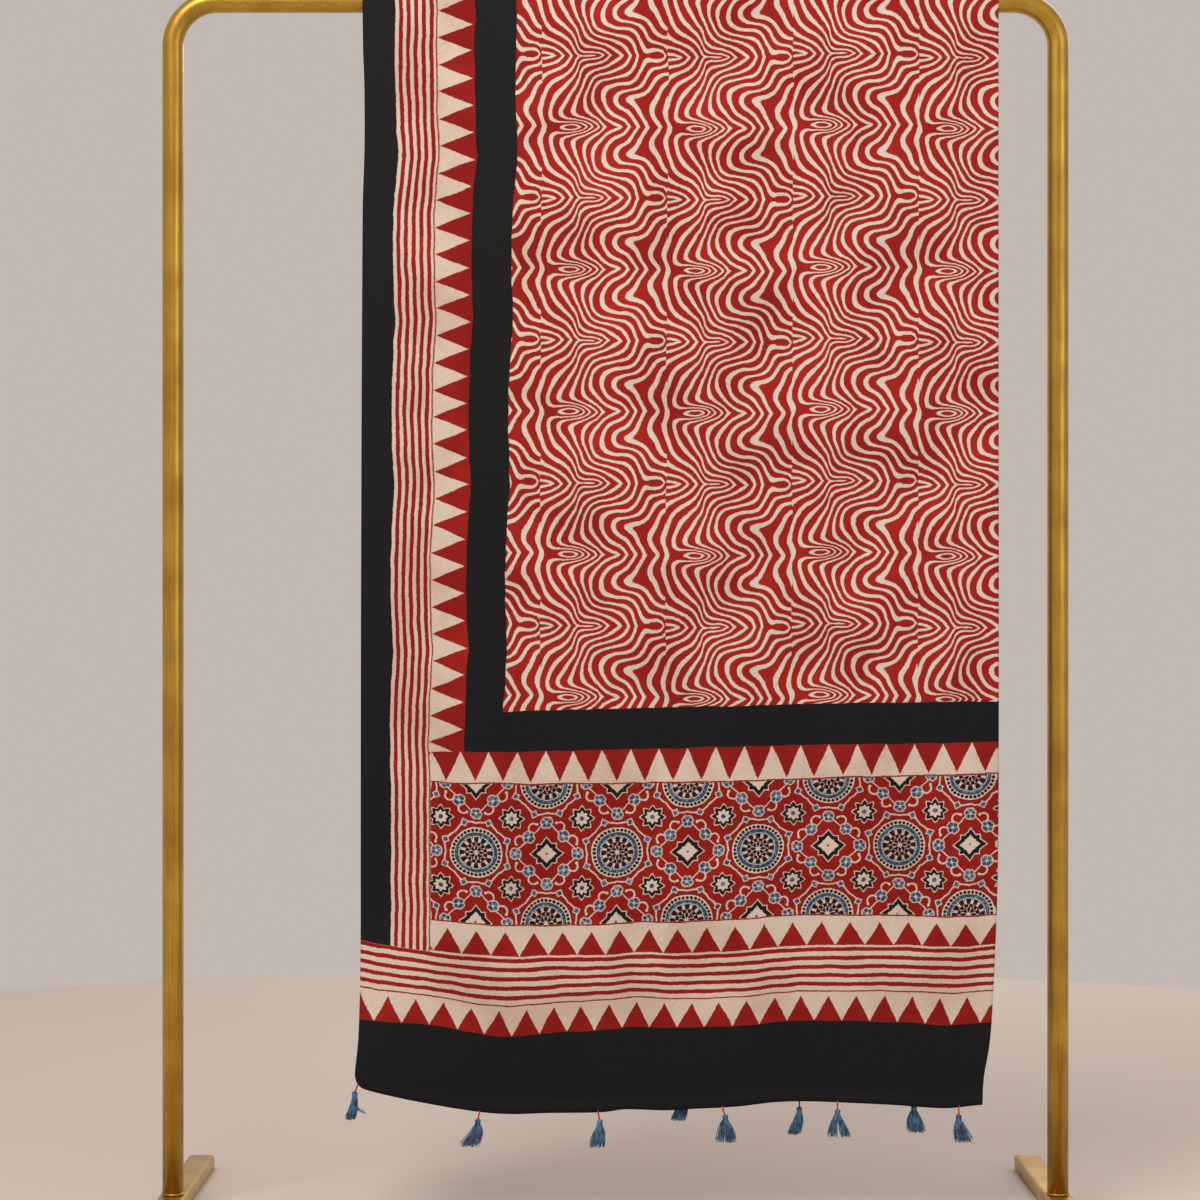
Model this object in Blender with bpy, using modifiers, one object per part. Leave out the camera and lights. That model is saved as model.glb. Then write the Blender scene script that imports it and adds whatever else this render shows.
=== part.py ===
"""A block-printed cotton cloth with tassels, hung over the rail of a small clothes rack.

The cloth is one sheet. It is folded once along its length, with the fold at the right, and
hung over the rail at about its middle, so that two layers hang in front and two behind.
The front faces -Y, +Z is up and the floor is at Z = 0. All sizes are in metres.
"""

import math
from collections import namedtuple

import bmesh
import bpy
from mathutils import Matrix, Vector

# The gap that two touching pieces keep
GAP = 0.0003

# The rack: one bent tube that stands on two foot bars
TUBE_DIAMETER = 0.019
TUBE_BEVEL_RESOLUTION = 8
UPRIGHT_X = 0.400
RAIL_HEIGHT = 1.0922
BEND_RADIUS = 0.040
BEND_STEPS = 8
FOOT_LENGTH = 0.380
FOOT_WIDTH = 0.025
FOOT_HEIGHT = 0.014
FOOT_ROUNDING = 0.003

# The cloth as it is cut, and how thick its solid is
CLOTH_WIDTH = 1.125
CLOTH_THICKNESS = 0.001
OUTER_LAYER_WIDTH = 0.570

# The cloth's lie: the free ends' heights, the room between its two layers and the fold's radius
FRONT_HEM_HEIGHT = 0.0940
BACK_HEM_HEIGHT = 0.1550
LAYER_GAP_AT_RAIL = 0.0024
LAYER_GAP_AT_HEM = 0.0090
FOLD_RADIUS_AT_HEM = 0.0035
FOLD_OPENING_WIDTH = 0.060
RAIL_FACET_ALLOWANCE = 0.0002
RAISED_HEM_REACH = 0.400

# Soft waves across the hanging cloth: how deep, how wide and where they start
Wave = namedtuple("Wave", "depth width phase")
FRONT_WAVES = (
    Wave(depth=0.0040, width=0.270, phase=0.6),
    Wave(depth=0.0020, width=0.118, phase=2.1),
)
BACK_WAVES = (
    Wave(depth=0.0045, width=0.310, phase=2.4),
    Wave(depth=0.0020, width=0.140, phase=0.3),
)
WAVE_START_DROP = 0.060

# The front's lower left corner curls away from the cloth behind it
CURL_DEPTH = 0.030
CURL_WIDTH = 0.130
CURL_HEIGHT = 0.190

# Where the cloth's two upright edges hang in front, at a few heights
EdgePoint = namedtuple("EdgePoint", "height x")
LEFT_EDGE = (
    EdgePoint(height=0.100, x=-0.2292),
    EdgePoint(height=0.140, x=-0.2295),
    EdgePoint(height=0.200, x=-0.2290),
    EdgePoint(height=0.300, x=-0.2285),
    EdgePoint(height=0.600, x=-0.2282),
    EdgePoint(height=0.900, x=-0.2274),
    EdgePoint(height=0.960, x=-0.2258),
    EdgePoint(height=1.015, x=-0.2260),
    EdgePoint(height=1.050, x=-0.2272),
    EdgePoint(height=1.100, x=-0.2277),
)
FOLD_EDGE = (
    EdgePoint(height=0.100, x=0.3281),
    EdgePoint(height=0.125, x=0.3297),
    EdgePoint(height=0.150, x=0.3341),
    EdgePoint(height=0.175, x=0.3366),
    EdgePoint(height=0.240, x=0.3399),
    EdgePoint(height=0.300, x=0.3421),
    EdgePoint(height=0.400, x=0.3433),
    EdgePoint(height=0.800, x=0.3443),
    EdgePoint(height=1.100, x=0.3446),
)

# How far the front hem hangs above or below its set height, by the distance across the cloth
HemPoint = namedtuple("HemPoint", "across raised")
FRONT_HEM = (
    HemPoint(across=0.000, raised=0.0283),
    HemPoint(across=0.018, raised=0.0228),
    HemPoint(across=0.065, raised=0.0109),
    HemPoint(across=0.115, raised=0.0011),
    HemPoint(across=0.142, raised=-0.0026),
    HemPoint(across=0.195, raised=0.0015),
    HemPoint(across=0.240, raised=0.0042),
    HemPoint(across=0.300, raised=0.0024),
    HemPoint(across=0.350, raised=0.0047),
    HemPoint(across=0.385, raised=0.0076),
    HemPoint(across=0.432, raised=0.0076),
    HemPoint(across=0.485, raised=0.0062),
    HemPoint(across=0.540, raised=0.0029),
    HemPoint(across=0.570, raised=0.0060),
    HemPoint(across=0.630, raised=0.0105),
    HemPoint(across=0.650, raised=0.0055),
    HemPoint(across=0.700, raised=0.0062),
    HemPoint(across=0.740, raised=0.0078),
    HemPoint(across=0.840, raised=0.0257),
    HemPoint(across=0.940, raised=0.0383),
    HemPoint(across=1.125, raised=0.0520),
)
BACK_HEM = (
    HemPoint(across=0.000, raised=0.0090),
    HemPoint(across=0.150, raised=-0.0020),
    HemPoint(across=0.350, raised=0.0040),
    HemPoint(across=0.570, raised=0.0010),
    HemPoint(across=0.800, raised=0.0050),
    HemPoint(across=1.125, raised=0.0070),
)

# The grid that the cloth's solid is made from
LAYER_COLUMNS = 12
FOLD_COLUMNS = 6
FRONT_ROWS = 16
RAIL_ROWS = 8
BACK_ROWS = 14

# The tassels along each end hem: where they hang and how their skirts sweep and spread
Tassel = namedtuple("Tassel", "across sweep half_width half_depth")
TASSELS = (
    Tassel(across=0.003, sweep=-0.0070, half_width=0.0045, half_depth=0.0038),
    Tassel(across=0.112, sweep=-0.0085, half_width=0.0085, half_depth=0.0045),
    Tassel(across=0.221, sweep=-0.0010, half_width=0.0070, half_depth=0.0045),
    Tassel(across=0.335, sweep=0.0030, half_width=0.0100, half_depth=0.0045),
    Tassel(across=0.441, sweep=0.0015, half_width=0.0090, half_depth=0.0045),
    Tassel(across=0.552, sweep=0.0030, half_width=0.0080, half_depth=0.0045),
    Tassel(across=0.632, sweep=-0.0015, half_width=0.0090, half_depth=0.0045),
    Tassel(across=0.737, sweep=-0.0050, half_width=0.0060, half_depth=0.0045),
    Tassel(across=0.845, sweep=-0.0020, half_width=0.0070, half_depth=0.0040),
    Tassel(across=0.945, sweep=0.0010, half_width=0.0080, half_depth=0.0040),
    Tassel(across=1.045, sweep=-0.0010, half_width=0.0080, half_depth=0.0040),
    Tassel(across=1.115, sweep=0.0010, half_width=0.0070, half_depth=0.0040),
)
LOOP_LENGTH = 0.0055
LOOP_DIAMETER = 0.0015
HEAD_WIDTH = 0.0055
HEAD_HEIGHT = 0.0050
HEAD_CUT = 0.0039
SKIRT_LENGTH = 0.0220
STRAND_ROOT_DEPTH = 0.0005
STRAND_ROOT_RADIUS = 0.00042
STRAND_TIP_RADIUS = 0.00080

# The strands under a head stand in two rings
StrandRing = namedtuple("StrandRing", "count root_radius tip_share")
STRAND_RINGS = (
    StrandRing(count=9, root_radius=0.00175, tip_share=1.00),
    StrandRing(count=3, root_radius=0.00060, tip_share=0.36),
)

# Sizes that follow from those above
TUBE_RADIUS = TUBE_DIAMETER / 2
INNER_DRAPE_RADIUS = TUBE_RADIUS + GAP + RAIL_FACET_ALLOWANCE + CLOTH_THICKNESS / 2
FRONT_DROP = RAIL_HEIGHT - FRONT_HEM_HEIGHT
BACK_DROP = RAIL_HEIGHT - BACK_HEM_HEIGHT
OVER_RAIL = math.pi * INNER_DRAPE_RADIUS
CLOTH_LENGTH = FRONT_DROP + OVER_RAIL + BACK_DROP
FOLD_RADIUS_AT_RAIL = LAYER_GAP_AT_RAIL / 2
FOLD_START = OUTER_LAYER_WIDTH
FOLD_WIDTH = math.pi * FOLD_RADIUS_AT_RAIL
FOLD_END = FOLD_START + FOLD_WIDTH


def smooth_step(value):
    """Rise softly from 0 to 1 as the value goes from 0 to 1."""
    clamped = min(max(value, 0.0), 1.0)
    return clamped * clamped * (3 - 2 * clamped)


def mix(first, second, share):
    """The value that lies a share of the way from the first to the second."""
    return first + (second - first) * share


def follow(table, at):
    """Read a two-column table as a smooth curve through its points."""
    keys = [row[0] for row in table]
    values = [row[1] for row in table]
    at = min(max(at, keys[0]), keys[-1])
    slopes = []
    for i in range(len(table)):
        before = max(i - 1, 0)
        after = min(i + 1, len(table) - 1)
        slopes.append((values[after] - values[before]) / (keys[after] - keys[before]))
    i = max(k for k in range(len(table) - 1) if keys[k] <= at)
    span = keys[i + 1] - keys[i]
    t = (at - keys[i]) / span
    start = (1 + 2 * t) * (1 - t) ** 2 * values[i] + t * (1 - t) ** 2 * span * slopes[i]
    end = t * t * (3 - 2 * t) * values[i + 1] + t * t * (t - 1) * span * slopes[i + 1]
    return start + end


def wave_depth(waves, x, drop, full_drop):
    """How far soft waves push the hanging cloth outward, never inward, at a point of it."""
    strength = smooth_step((drop - WAVE_START_DROP) / (full_drop - WAVE_START_DROP))
    rest = sum(wave.depth for wave in waves)
    swing = sum(wave.depth * math.sin(math.tau * x / wave.width + wave.phase) for wave in waves)
    return strength * (rest + swing)


def curl_depth(x, height):
    """How far the front's lower left corner curls forward."""
    left_edge = LEFT_EDGE[0].x
    sideways = smooth_step((left_edge + CURL_WIDTH - x) / CURL_WIDTH)
    downward = smooth_step((FRONT_HEM_HEIGHT + CURL_HEIGHT - height) / CURL_HEIGHT)
    return CURL_DEPTH * sideways * downward


def layer_place(across, hang, fold_radius):
    """Where a point across the cloth lies in its two layers.

    The result is its share of the way from the left edge to the fold, its distance past the
    fold's start and its height above the inner layer. The hang is 0 at the rail and 1 at a hem.
    """
    if across < FOLD_START:
        layer_gap = mix(LAYER_GAP_AT_RAIL, LAYER_GAP_AT_HEM, hang)
        opened = smooth_step((FOLD_START - across) / FOLD_OPENING_WIDTH)
        return across / OUTER_LAYER_WIDTH, 0.0, mix(2 * fold_radius, layer_gap, opened)
    if across > FOLD_END:
        return 1 - (across - FOLD_END) / OUTER_LAYER_WIDTH, 0.0, 0.0
    turn = math.pi * (across - FOLD_START) / FOLD_WIDTH
    return 1.0, fold_radius * math.sin(turn), fold_radius * (1 + math.cos(turn))


def on_cloth(across, along):
    """The place of a point of the cloth, from its distances across it and along it.

    Across starts at the front's left edge, and along starts at the front hem.
    """
    in_front = along < FRONT_DROP + OVER_RAIL / 2
    drop = FRONT_DROP - along if in_front else along - FRONT_DROP - OVER_RAIL
    full_drop = FRONT_DROP if in_front else BACK_DROP
    hang = smooth_step(drop / full_drop)
    fold_radius = mix(FOLD_RADIUS_AT_RAIL, FOLD_RADIUS_AT_HEM, hang)
    share, past_fold, above = layer_place(across, hang, fold_radius)

    from_hem = full_drop - drop
    hem = FRONT_HEM if in_front else BACK_HEM
    raised = follow(hem, across) * (1 - smooth_step(from_hem / RAISED_HEM_REACH))
    height = RAIL_HEIGHT - max(drop, 0.0) + raised
    fold_start_x = follow(FOLD_EDGE, height) - fold_radius
    x = mix(follow(LEFT_EDGE, height), fold_start_x, share) + past_fold

    outward = INNER_DRAPE_RADIUS + above
    if drop < 0:
        turn = math.pi * (along - FRONT_DROP) / OVER_RAIL
        return Vector((x, -outward * math.cos(turn), RAIL_HEIGHT + outward * math.sin(turn)))
    outward += wave_depth(FRONT_WAVES if in_front else BACK_WAVES, x, drop, full_drop)
    if in_front and across < FOLD_START:
        outward += curl_depth(x, height)
    return Vector((x, -outward if in_front else outward, height))


def steps(start, end, count):
    """Evenly spaced values from the start to the end, both included."""
    return [mix(start, end, i / count) for i in range(count + 1)]


def cloth_columns():
    """The grid's distances across the cloth."""
    outer = steps(0.0, FOLD_START, LAYER_COLUMNS)
    fold = steps(FOLD_START, FOLD_END, FOLD_COLUMNS)
    inner = steps(FOLD_END, CLOTH_WIDTH, LAYER_COLUMNS)
    return outer + fold[1:] + inner[1:]


def cloth_rows():
    """The grid's distances along the cloth."""
    front = steps(0.0, FRONT_DROP, FRONT_ROWS)
    rail = steps(FRONT_DROP, FRONT_DROP + OVER_RAIL, RAIL_ROWS)
    back = steps(FRONT_DROP + OVER_RAIL, CLOTH_LENGTH, BACK_ROWS)
    return front + rail[1:] + back[1:]


def on_hem(across, along):
    """A point on a hem of the faceted cloth, which is straight between the grid's columns."""
    columns = cloth_columns()
    i = max(k for k in range(len(columns) - 1) if columns[k] <= across)
    share = (across - columns[i]) / (columns[i + 1] - columns[i])
    return on_cloth(columns[i], along).lerp(on_cloth(columns[i + 1], along), share)


def make_material(name, colour, roughness, metallic=0.0):
    """A plain Principled material."""
    material = bpy.data.materials.new(name)
    material.use_nodes = True
    material.diffuse_color = (*colour, 1.0)
    shader = material.node_tree.nodes["Principled BSDF"]
    shader.inputs["Base Color"].default_value = (*colour, 1.0)
    shader.inputs["Roughness"].default_value = roughness
    shader.inputs["Metallic"].default_value = metallic
    return material


def add_object(name, data, collection, material=None):
    """Put a mesh or a curve into a collection as a new object."""
    new_object = bpy.data.objects.new(name, data)
    collection.objects.link(new_object)
    if material:
        data.materials.append(material)
    return new_object


def mesh_from(bm, name):
    """Turn a bmesh into a mesh."""
    mesh = bpy.data.meshes.new(name)
    bm.to_mesh(mesh)
    bm.free()
    return mesh


def add_cloth(collection, material):
    """The cloth: a flat grid laid over the rail, then thickened."""
    columns = cloth_columns()
    rows = cloth_rows()
    bm = bmesh.new()
    bmesh.ops.create_grid(
        bm, x_segments=len(columns) - 1, y_segments=len(rows) - 1, size=0.5
    )
    for vert in bm.verts:
        column = round((vert.co.x + 0.5) * (len(columns) - 1))
        row = round((vert.co.y + 0.5) * (len(rows) - 1))
        vert.co = on_cloth(columns[column], rows[row])
    for face in bm.faces:
        face.smooth = True
    cloth = add_object("cloth", mesh_from(bm, "cloth"), collection, material)
    solidify = cloth.modifiers.new("Thickness", "SOLIDIFY")
    solidify.thickness = CLOTH_THICKNESS
    solidify.offset = 0.0
    solidify.use_even_offset = True


def hoop_route():
    """The rack tube's centre line, up one side, along the rail and down the other."""
    upright_top = RAIL_HEIGHT - BEND_RADIUS
    rail_end = UPRIGHT_X - BEND_RADIUS
    route = [Vector((-UPRIGHT_X, 0.0, FOOT_HEIGHT + GAP))]
    for side in (-1, 1):
        bend = []
        for turn in steps(0.0, math.pi / 2, BEND_STEPS):
            out = rail_end + BEND_RADIUS * math.cos(turn)
            bend.append(Vector((side * out, 0.0, upright_top + BEND_RADIUS * math.sin(turn))))
        route += bend if side < 0 else reversed(bend)
    route.append(Vector((UPRIGHT_X, 0.0, FOOT_HEIGHT + GAP)))
    return route


def add_hoop(collection, material):
    """The rack's bent tube."""
    curve = bpy.data.curves.new("rack_hoop", "CURVE")
    curve.dimensions = "3D"
    curve.bevel_depth = TUBE_RADIUS
    curve.bevel_resolution = TUBE_BEVEL_RESOLUTION
    curve.use_fill_caps = True
    route = hoop_route()
    spline = curve.splines.new("POLY")
    spline.points.add(len(route) - 1)
    for point, place in zip(spline.points, route):
        point.co = (*place, 1.0)
    spline.use_smooth = True
    add_object("rack_hoop", curve, collection, material)


def add_feet(collection, material):
    """The two foot bars, flat on the floor."""
    bm = bmesh.new()
    size = Matrix.Diagonal((FOOT_WIDTH, FOOT_LENGTH, FOOT_HEIGHT, 1.0))
    bmesh.ops.create_cube(bm, size=1.0, matrix=size)
    mesh = mesh_from(bm, "rack_foot")
    for name, side in (("rack_foot_left", -1), ("rack_foot_right", 1)):
        foot = bpy.data.objects.new(name, mesh)
        foot.location = (side * UPRIGHT_X, 0.0, FOOT_HEIGHT / 2)
        collection.objects.link(foot)
        bevel = foot.modifiers.new("Rounding", "BEVEL")
        bevel.width = FOOT_ROUNDING
        bevel.segments = 2
    mesh.materials.append(material)


def strand_place(ring, angle, tassel, share):
    """The centre of a strand, from its root under the head (0) to its tip (1)."""
    cos = math.cos(angle)
    sin = math.sin(angle)
    tip_x = (tassel.half_width - STRAND_TIP_RADIUS) * ring.tip_share * cos
    tip_y = (tassel.half_depth - STRAND_TIP_RADIUS) * ring.tip_share * sin
    x = mix(ring.root_radius * cos, tip_x, share) + tassel.sweep * share ** 2
    y = mix(ring.root_radius * sin, tip_y, share)
    return Vector((x, y, 0.0))


def add_strand(bm, ring, angle, tassel):
    """One three-sided strand, thicker at its tip, bent once on its way down."""
    length = SKIRT_LENGTH + STRAND_ROOT_DEPTH
    earlier = set(bm.verts)
    bmesh.ops.create_cone(
        bm, cap_ends=True, segments=3, radius1=STRAND_TIP_RADIUS, radius2=STRAND_ROOT_RADIUS,
        depth=length, matrix=Matrix.Rotation(angle, 4, "Z"),
    )
    strand = [vert for vert in bm.verts if vert not in earlier]
    faces = {face for vert in strand for face in vert.link_faces}
    edges = {edge for vert in strand for edge in vert.link_edges}
    bmesh.ops.bisect_plane(
        bm, geom=[*strand, *edges, *faces], plane_co=(0, 0, 0), plane_no=(0, 0, 1)
    )
    for vert in bm.verts:
        if vert not in earlier:
            vert.co += strand_place(ring, angle, tassel, 0.5 - vert.co.z / length)
            vert.co.z += STRAND_ROOT_DEPTH - HEAD_CUT - length / 2


def strands_mesh(tassel, name):
    """All strands of a tassel, with its head's top at the mesh's origin."""
    bm = bmesh.new()
    for ring in STRAND_RINGS:
        for i in range(ring.count):
            add_strand(bm, ring, math.tau * i / ring.count, tassel)
    return mesh_from(bm, name)


def head_mesh(name):
    """A tassel's head: a tall ball, cut flat where its strands come out."""
    bm = bmesh.new()
    place = Matrix.Translation((0, 0, -HEAD_HEIGHT / 2))
    size = Matrix.Diagonal((HEAD_WIDTH / 2, HEAD_WIDTH / 2, HEAD_HEIGHT / 2, 1.0))
    bmesh.ops.create_uvsphere(bm, u_segments=8, v_segments=6, radius=1.0, matrix=place @ size)
    cut = bmesh.ops.bisect_plane(
        bm, geom=[*bm.verts, *bm.edges, *bm.faces], clear_inner=True,
        plane_co=(0, 0, -HEAD_CUT), plane_no=(0, 0, 1),
    )
    rim = [item for item in cut["geom_cut"] if isinstance(item, bmesh.types.BMEdge)]
    bmesh.ops.contextual_create(bm, geom=rim)
    bmesh.ops.recalc_face_normals(bm, faces=bm.faces)
    for face in bm.faces:
        face.smooth = True
    return mesh_from(bm, name)


def add_tassel(number, end, tassel, along, collections, materials):
    """One tassel and its thread loop, hung under the hem."""
    hem = on_hem(tassel.across, along)
    loop_mesh = bpy.data.meshes.get("tassel_loop")
    if loop_mesh is None:
        bm = bmesh.new()
        bmesh.ops.create_cone(
            bm, cap_ends=True, segments=6, radius1=LOOP_DIAMETER / 2, radius2=LOOP_DIAMETER / 2,
            depth=LOOP_LENGTH,
        )
        loop_mesh = mesh_from(bm, "tassel_loop")
        loop_mesh.materials.append(materials["loop"])
    loop = add_object(f"tassel_loop_{end}_{number:02d}", loop_mesh, collections["parts"])
    loop.location = hem - Vector((0, 0, GAP + LOOP_LENGTH / 2))

    name = f"tassel_{end}_{number:02d}"
    head_top = hem - Vector((0, 0, LOOP_LENGTH + 2 * GAP))
    head = add_object(name, head_mesh(name), collections["parts"], materials["tassel"])
    head.location = head_top
    strands = add_object(
        f"{name}_strands", strands_mesh(tassel, f"{name}_strands"), collections["cutters"]
    )
    strands.location = head_top
    strands.hide_render = True
    strands.display_type = "WIRE"
    union = head.modifiers.new("Strands", "BOOLEAN")
    union.operation = "UNION"
    union.solver = "EXACT"
    union.object = strands


def main():
    """Build the rack, the cloth and its tassels."""
    for old in list(bpy.data.objects):
        bpy.data.objects.remove(old, do_unlink=True)
    collections = {
        "parts": bpy.data.collections.new("ajrakh_cloth_on_rack"),
        "cutters": bpy.data.collections.new("cutters"),
    }
    for collection in collections.values():
        bpy.context.scene.collection.children.link(collection)
    parts = collections["parts"]

    add_cloth(parts, make_material("printed_cotton", (0.39, 0.020, 0.012), 0.9))
    add_hoop(parts, make_material("gold_tube", (0.43, 0.24, 0.04), 0.35, metallic=0.6))
    add_feet(parts, make_material("gold_bar", (0.43, 0.24, 0.04), 0.4, metallic=0.6))
    materials = {
        "tassel": make_material("blue_thread", (0.055, 0.15, 0.30), 0.85),
        "loop": make_material("red_thread", (0.50, 0.02, 0.025), 0.85),
    }
    for end, along in (("front", 0.0), ("back", CLOTH_LENGTH)):
        for number, tassel in enumerate(TASSELS, start=1):
            add_tassel(number, end, tassel, along, collections, materials)


main()
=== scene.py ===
"""A block-printed cotton cloth with tassels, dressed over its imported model.

The cloth is one sheet, folded once along its length and hung over the rail of a small gold
clothes rack. The front faces -Y, +Z is up and the floor is at Z = 0. Sizes are in metres, and
the print's own sizes are in millimetres.
"""

import logging
import math
import random
from bisect import bisect_right
from dataclasses import dataclass
from enum import Enum
from typing import Any, Callable, Sequence

import bmesh
import bpy
from mathutils import Matrix, Vector


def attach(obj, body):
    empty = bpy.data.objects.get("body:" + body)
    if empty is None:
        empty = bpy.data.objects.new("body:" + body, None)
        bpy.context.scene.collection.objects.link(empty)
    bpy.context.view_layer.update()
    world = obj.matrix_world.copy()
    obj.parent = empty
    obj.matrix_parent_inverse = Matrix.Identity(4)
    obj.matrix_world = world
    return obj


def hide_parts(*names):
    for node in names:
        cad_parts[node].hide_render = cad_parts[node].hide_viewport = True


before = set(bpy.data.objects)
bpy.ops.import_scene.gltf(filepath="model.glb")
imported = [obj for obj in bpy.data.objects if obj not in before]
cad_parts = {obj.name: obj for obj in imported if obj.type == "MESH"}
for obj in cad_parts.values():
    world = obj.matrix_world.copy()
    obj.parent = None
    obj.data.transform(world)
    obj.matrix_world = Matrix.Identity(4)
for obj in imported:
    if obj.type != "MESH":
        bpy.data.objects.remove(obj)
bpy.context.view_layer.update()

Colour = tuple[float, float, float, float]
Point = tuple[float, float]
MM = 1000.0

log = logging.getLogger("cloth")


def paint(red: int, green: int, blue: int) -> Colour:
    """Turn a colour of 0 to 255 on a display into linear light.

    Args:
        red: The red part.
        green: The green part.
        blue: The blue part.

    Returns:
        The colour that a shader takes.
    """
    parts = []
    for part in (red, green, blue):
        share = part / 255
        parts.append(share / 12.92 if share <= 0.04045 else ((share + 0.055) / 1.055) ** 2.4)
    return (parts[0], parts[1], parts[2], 1.0)


def mix(first: float, second: float, share: float) -> float:
    """The value that lies a share of the way from the first to the second."""
    return first + (second - first) * share


def smooth_step(value: float) -> float:
    """Rise softly from 0 to 1 as the value goes from 0 to 1."""
    clamped = min(max(value, 0.0), 1.0)
    return clamped * clamped * (3 - 2 * clamped)


def steps(start: float, end: float, count: int) -> list[float]:
    """Evenly spaced values from the start to the end, both included."""
    return [mix(start, end, i / count) for i in range(count + 1)]


class SmoothTable:
    """A smooth curve through a few points."""

    def __init__(self, points: Sequence[Point]) -> None:
        """Work out the curve's slope at each point.

        Args:
            points: Pairs of a place and the value there, in rising order.
        """
        self.keys = [point[0] for point in points]
        self.values = [point[1] for point in points]
        self.slopes = []
        last = len(points) - 1
        for i in range(len(points)):
            before = max(i - 1, 0)
            after = min(i + 1, last)
            rise = self.values[after] - self.values[before]
            self.slopes.append(rise / (self.keys[after] - self.keys[before]))

    def at(self, key: float) -> float:
        """The curve's value at a place, held level past its ends."""
        key = min(max(key, self.keys[0]), self.keys[-1])
        i = min(bisect_right(self.keys, key) - 1, len(self.keys) - 2)
        span = self.keys[i + 1] - self.keys[i]
        t = (key - self.keys[i]) / span
        start = (1 + 2 * t) * (1 - t) ** 2 * self.values[i]
        start += t * (1 - t) ** 2 * span * self.slopes[i]
        end = t * t * (3 - 2 * t) * self.values[i + 1]
        end += t * t * (t - 1) * span * self.slopes[i + 1]
        return start + end


def operation(kind: str, turned: bool = False) -> "Callable[..., Value]":
    """Make a method of Value that adds one Math node.

    Args:
        kind: The node's operation.
        turned: Whether the other number comes before the value.

    Returns:
        The method, which takes the operation's other number, where it has one.
    """

    def method(value: "Value", *others: "Value | float") -> "Value":
        """Add the node and wrap its result."""
        return value.graph.maths(kind, *((*others, value) if turned else (value, *others)))

    return method


class Value:
    """A number that changes over a surface, with Python's own operators for its maths.

    An operation's other number is another value or a plain number. The result of angle_from is
    the direction whose rise is the value and whose run is the other.
    """

    __add__ = __radd__ = operation("ADD")
    __sub__ = operation("SUBTRACT")
    __rsub__ = operation("SUBTRACT", turned=True)
    __mul__ = __rmul__ = operation("MULTIPLY")
    __truediv__ = operation("DIVIDE")
    __abs__ = operation("ABSOLUTE")
    least = operation("MINIMUM")
    most = operation("MAXIMUM")
    fract = operation("FRACT")
    floor = operation("FLOOR")
    sine = operation("SINE")
    exponent = operation("EXPONENT")
    angle_from = operation("ARCTAN2")

    def __init__(self, graph: "Graph", socket: bpy.types.NodeSocket) -> None:
        """Wrap an output socket.

        Args:
            graph: The material's graph, which new nodes join.
            socket: The output that carries the number.
        """
        self.graph = graph
        self.socket = socket

    def __neg__(self) -> "Value":
        """Turn the sign."""
        return self * -1.0

    def scaled(self, factor: float, offset: float) -> "Value":
        """Multiply by one plain number and add another."""
        return self.graph.maths("MULTIPLY_ADD", self, factor, offset)

    def to_nearest(self, first: float, pitch: float) -> "Value":
        """The distance to the nearest of a row of lines.

        Args:
            first: Where one of the lines lies.
            pitch: How far apart the lines are.

        Returns:
            The distance, in this value's own unit.
        """
        share = self.scaled(1 / pitch, 0.5 - first / pitch).fract()
        return abs(share - 0.5) * pitch

    def past_band(self, first: float, last: float) -> "Value":
        """The distance past the nearer edge of a band, below 0 inside it."""
        return abs(self - (first + last) / 2) - (last - first) / 2

    def inside(self, blur: float) -> "Value":
        """A mask that is 1 where this distance is below 0, with a soft edge."""
        return self.graph.maths("MULTIPLY_ADD", self, -1 / blur, 0.5, clamped=True)

    def choose(self, where: "Value", otherwise: "Value | float") -> "Value":
        """Take one number where this mask is 1 and the other where it is 0."""
        return self * (where - otherwise) + otherwise

    def shown(self) -> "Value":
        """Hold this between 0 and 1, as a mask."""
        return self.most(0.0).least(1.0)


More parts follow.
